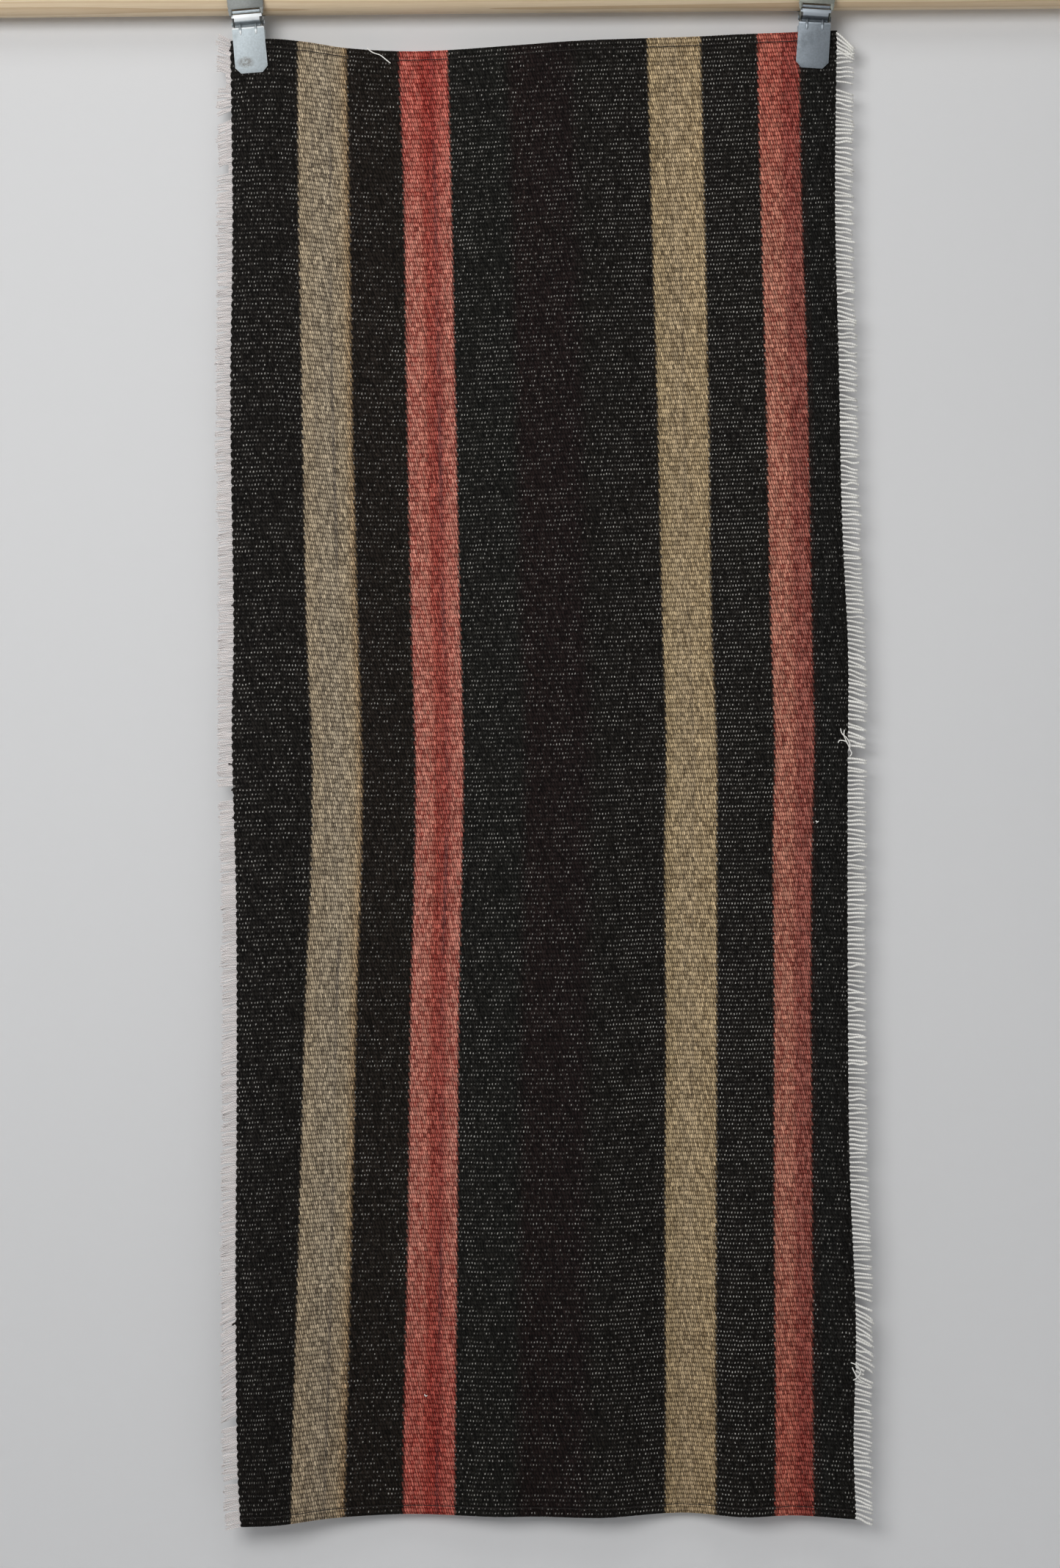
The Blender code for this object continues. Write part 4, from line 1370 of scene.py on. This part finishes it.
class RUG_OT_stage(bpy.types.Operator):
    """Set the wall, the floor, the lights and the camera"""

    bl_idname = "kilim.stage"
    bl_label = "Wall, Light and Camera"

    view_height = 1.1755
    view_middle_z = -0.5906
    roll = 0.5

    def execute(self, context):
        settings = context.scene.kilim_stage
        self.wall(settings)
        self.floor(settings)
        self.lights(context)
        self.camera(context, settings)
        return {"FINISHED"}

    def plaster(self, name, settings, one_sided):
        """Plain painted plaster; a one-sided one is not seen from behind, and casts no shadow."""
        material, nodes, shader = new_material(name)
        place = nodes.add("ShaderNodeTexCoord").outputs["Object"]
        grain = nodes.noise(place, 180.0, 3.0)
        cloud = nodes.noise(place, 1.5, 2.0)
        color = tuple(settings.wall_color)
        worn = tuple(value * 0.985 for value in color)
        nodes.feed(shader.inputs["Base Color"], nodes.blend(nodes.spread(cloud, 0.3, 0.7), color, worn))
        shader.inputs["Roughness"].default_value = 0.9
        shader.inputs["Specular IOR Level"].default_value = 0.2
        nodes.feed(shader.inputs["Normal"], nodes.bump(grain, 0.05 * MM))
        if one_sided:
            clear = nodes.add("ShaderNodeBsdfTransparent").outputs[0]
            behind = nodes.add("ShaderNodeNewGeometry").outputs["Backfacing"]
            shadow = nodes.add("ShaderNodeLightPath").outputs["Is Shadow Ray"]
            unseen = nodes.math("MAXIMUM", behind, shadow)
            mixed = nodes.add("ShaderNodeMixShader", {0: unseen, 1: shader.outputs[0], 2: clear})
            output = material.node_tree.nodes["Material Output"]
            material.node_tree.links.new(mixed.outputs[0], output.inputs["Surface"])
        return material

    def wall(self, settings):
        bpy.ops.object.select_all(action="DESELECT")
        bpy.ops.mesh.primitive_plane_add(
            size=8, location=(0, settings.wall_gap, 0), rotation=(math.radians(90), 0, 0)
        )
        wall = bpy.context.object
        wall.name = "stage_wall"
        bpy.ops.object.transform_apply(location=True, rotation=True, scale=True)
        wall.data.materials.append(self.plaster("stage_plaster", settings, True))

    def floor(self, settings):
        bpy.ops.object.select_all(action="DESELECT")
        level = CAD_BOX[0].z - settings.floor_gap
        bpy.ops.mesh.primitive_plane_add(size=12, location=(0, 0, level))
        floor = bpy.context.object
        floor.name = "stage_floor"
        bpy.ops.object.transform_apply(location=True, rotation=True, scale=True)
        floor.data.materials.append(self.plaster("stage_floor_paint", settings, False))

    def area_light(self, name, place, target, size, power, color, spread=180):
        light = bpy.data.lights.new(name, "AREA")
        light.shape = "RECTANGLE"
        light.size, light.size_y = size
        light.energy = power
        light.spread = math.radians(spread)
        light.color = color
        lamp = bpy.data.objects.new(name, light)
        bpy.context.scene.collection.objects.link(lamp)
        lamp.location = place
        lamp.rotation_euler = (Vector(target) - Vector(place)).to_track_quat("-Z", "Y").to_euler()

    def lights(self, context):
        self.area_light(
            "key_light", (-0.95, -2.2, 0.25), (0, 0, -0.45), (1.3, 1.1), 13.8, (1.0, 0.995, 0.985), 105
        )
        self.area_light(
            "top_light", (-0.1, -1.15, 1.25), (0, 0, -0.2), (0.9, 0.6), 5.6, (1.0, 0.985, 0.96)
        )
        self.area_light(
            "fill_light", (1.9, -2.6, 0.2), (0, 0, -0.6), (2.0, 2.0), 3.6, (1.0, 0.99, 0.97)
        )
        self.area_light(
            "back_light", (0.8, 2.6, 1.2), (0, 0, -0.5), (2.0, 2.0), 40.0, (1.0, 1.0, 1.0)
        )
        world = bpy.data.worlds.new("soft_room")
        world.use_nodes = True
        nodes = Nodes(world.node_tree)
        heading = nodes.split(nodes.add("ShaderNodeTexCoord").outputs["Generated"])
        low_color, high_color = (0.56, 0.49, 0.42), (0.95, 0.97, 1.0)
        rise = nodes.spread(heading[2], -0.8, 0.9)
        color = nodes.ramp(rise, [(0.0, low_color), (1.0, high_color)])
        background = world.node_tree.nodes["Background"]
        nodes.feed(background.inputs["Color"], color)
        background.inputs["Strength"].default_value = 0.28
        context.scene.world = world
        context.scene.view_settings.view_transform = "Standard"

    def camera(self, context, settings):
        camera = bpy.data.cameras.new("camera")
        camera.sensor_width = 36.0
        camera.lens = camera.sensor_width * settings.camera_distance / self.view_height
        camera.clip_start = 0.05
        holder = bpy.data.objects.new("camera", camera)
        context.scene.collection.objects.link(holder)
        holder.location = (0, -settings.camera_distance, self.view_middle_z)
        holder.rotation_euler = (math.radians(90), math.radians(self.roll), 0)
        context.scene.camera = holder


class RUG_PT_panel(bpy.types.Panel):
    """Lists the rug's pieces and sizes"""

    bl_label = "Kilim Runner"
    bl_idname = "RUG_PT_panel"
    bl_space_type = "VIEW_3D"
    bl_region_type = "UI"
    bl_category = "Kilim"

    def draw(self, context):
        scene = context.scene
        groups = (
            (scene.kilim_rug, (RUG_OT_cloth, RUG_OT_fringes, RUG_OT_trimmings)),
            (scene.kilim_clips, (RUG_OT_clips,)),
            (scene.kilim_rod, (RUG_OT_rod,)),
            (scene.kilim_stage, (RUG_OT_stage,)),
        )
        for settings, operators in groups:
            box = self.layout.box()
            for name in settings.bl_rna.properties.keys():
                if name not in ("rna_type", "name"):
                    box.prop(settings, name)
            for operator in operators:
                box.operator(operator.bl_idname)


SETTINGS = {
    "kilim_rug": RugSettings,
    "kilim_clips": ClipSettings,
    "kilim_rod": RodSettings,
    "kilim_stage": StageSettings,
}
OPERATORS = (RUG_OT_cloth, RUG_OT_fringes, RUG_OT_trimmings, RUG_OT_clips, RUG_OT_rod, RUG_OT_stage)


def register():
    for name, group in SETTINGS.items():
        bpy.utils.register_class(group)
        setattr(bpy.types.Scene, name, PointerProperty(type=group))
    for operator in OPERATORS:
        bpy.utils.register_class(operator)
    bpy.utils.register_class(RUG_PT_panel)


def unregister():
    bpy.utils.unregister_class(RUG_PT_panel)
    for operator in reversed(OPERATORS):
        bpy.utils.unregister_class(operator)
    for name, group in SETTINGS.items():
        delattr(bpy.types.Scene, name)
        bpy.utils.unregister_class(group)


def main():
    register()
    bpy.ops.kilim.stage()
    bpy.ops.kilim.rod()
    bpy.ops.kilim.clips()
    bpy.ops.kilim.cloth()
    bpy.ops.kilim.fringes()
    bpy.ops.kilim.trimmings()


if __name__ == "__main__":
    main()
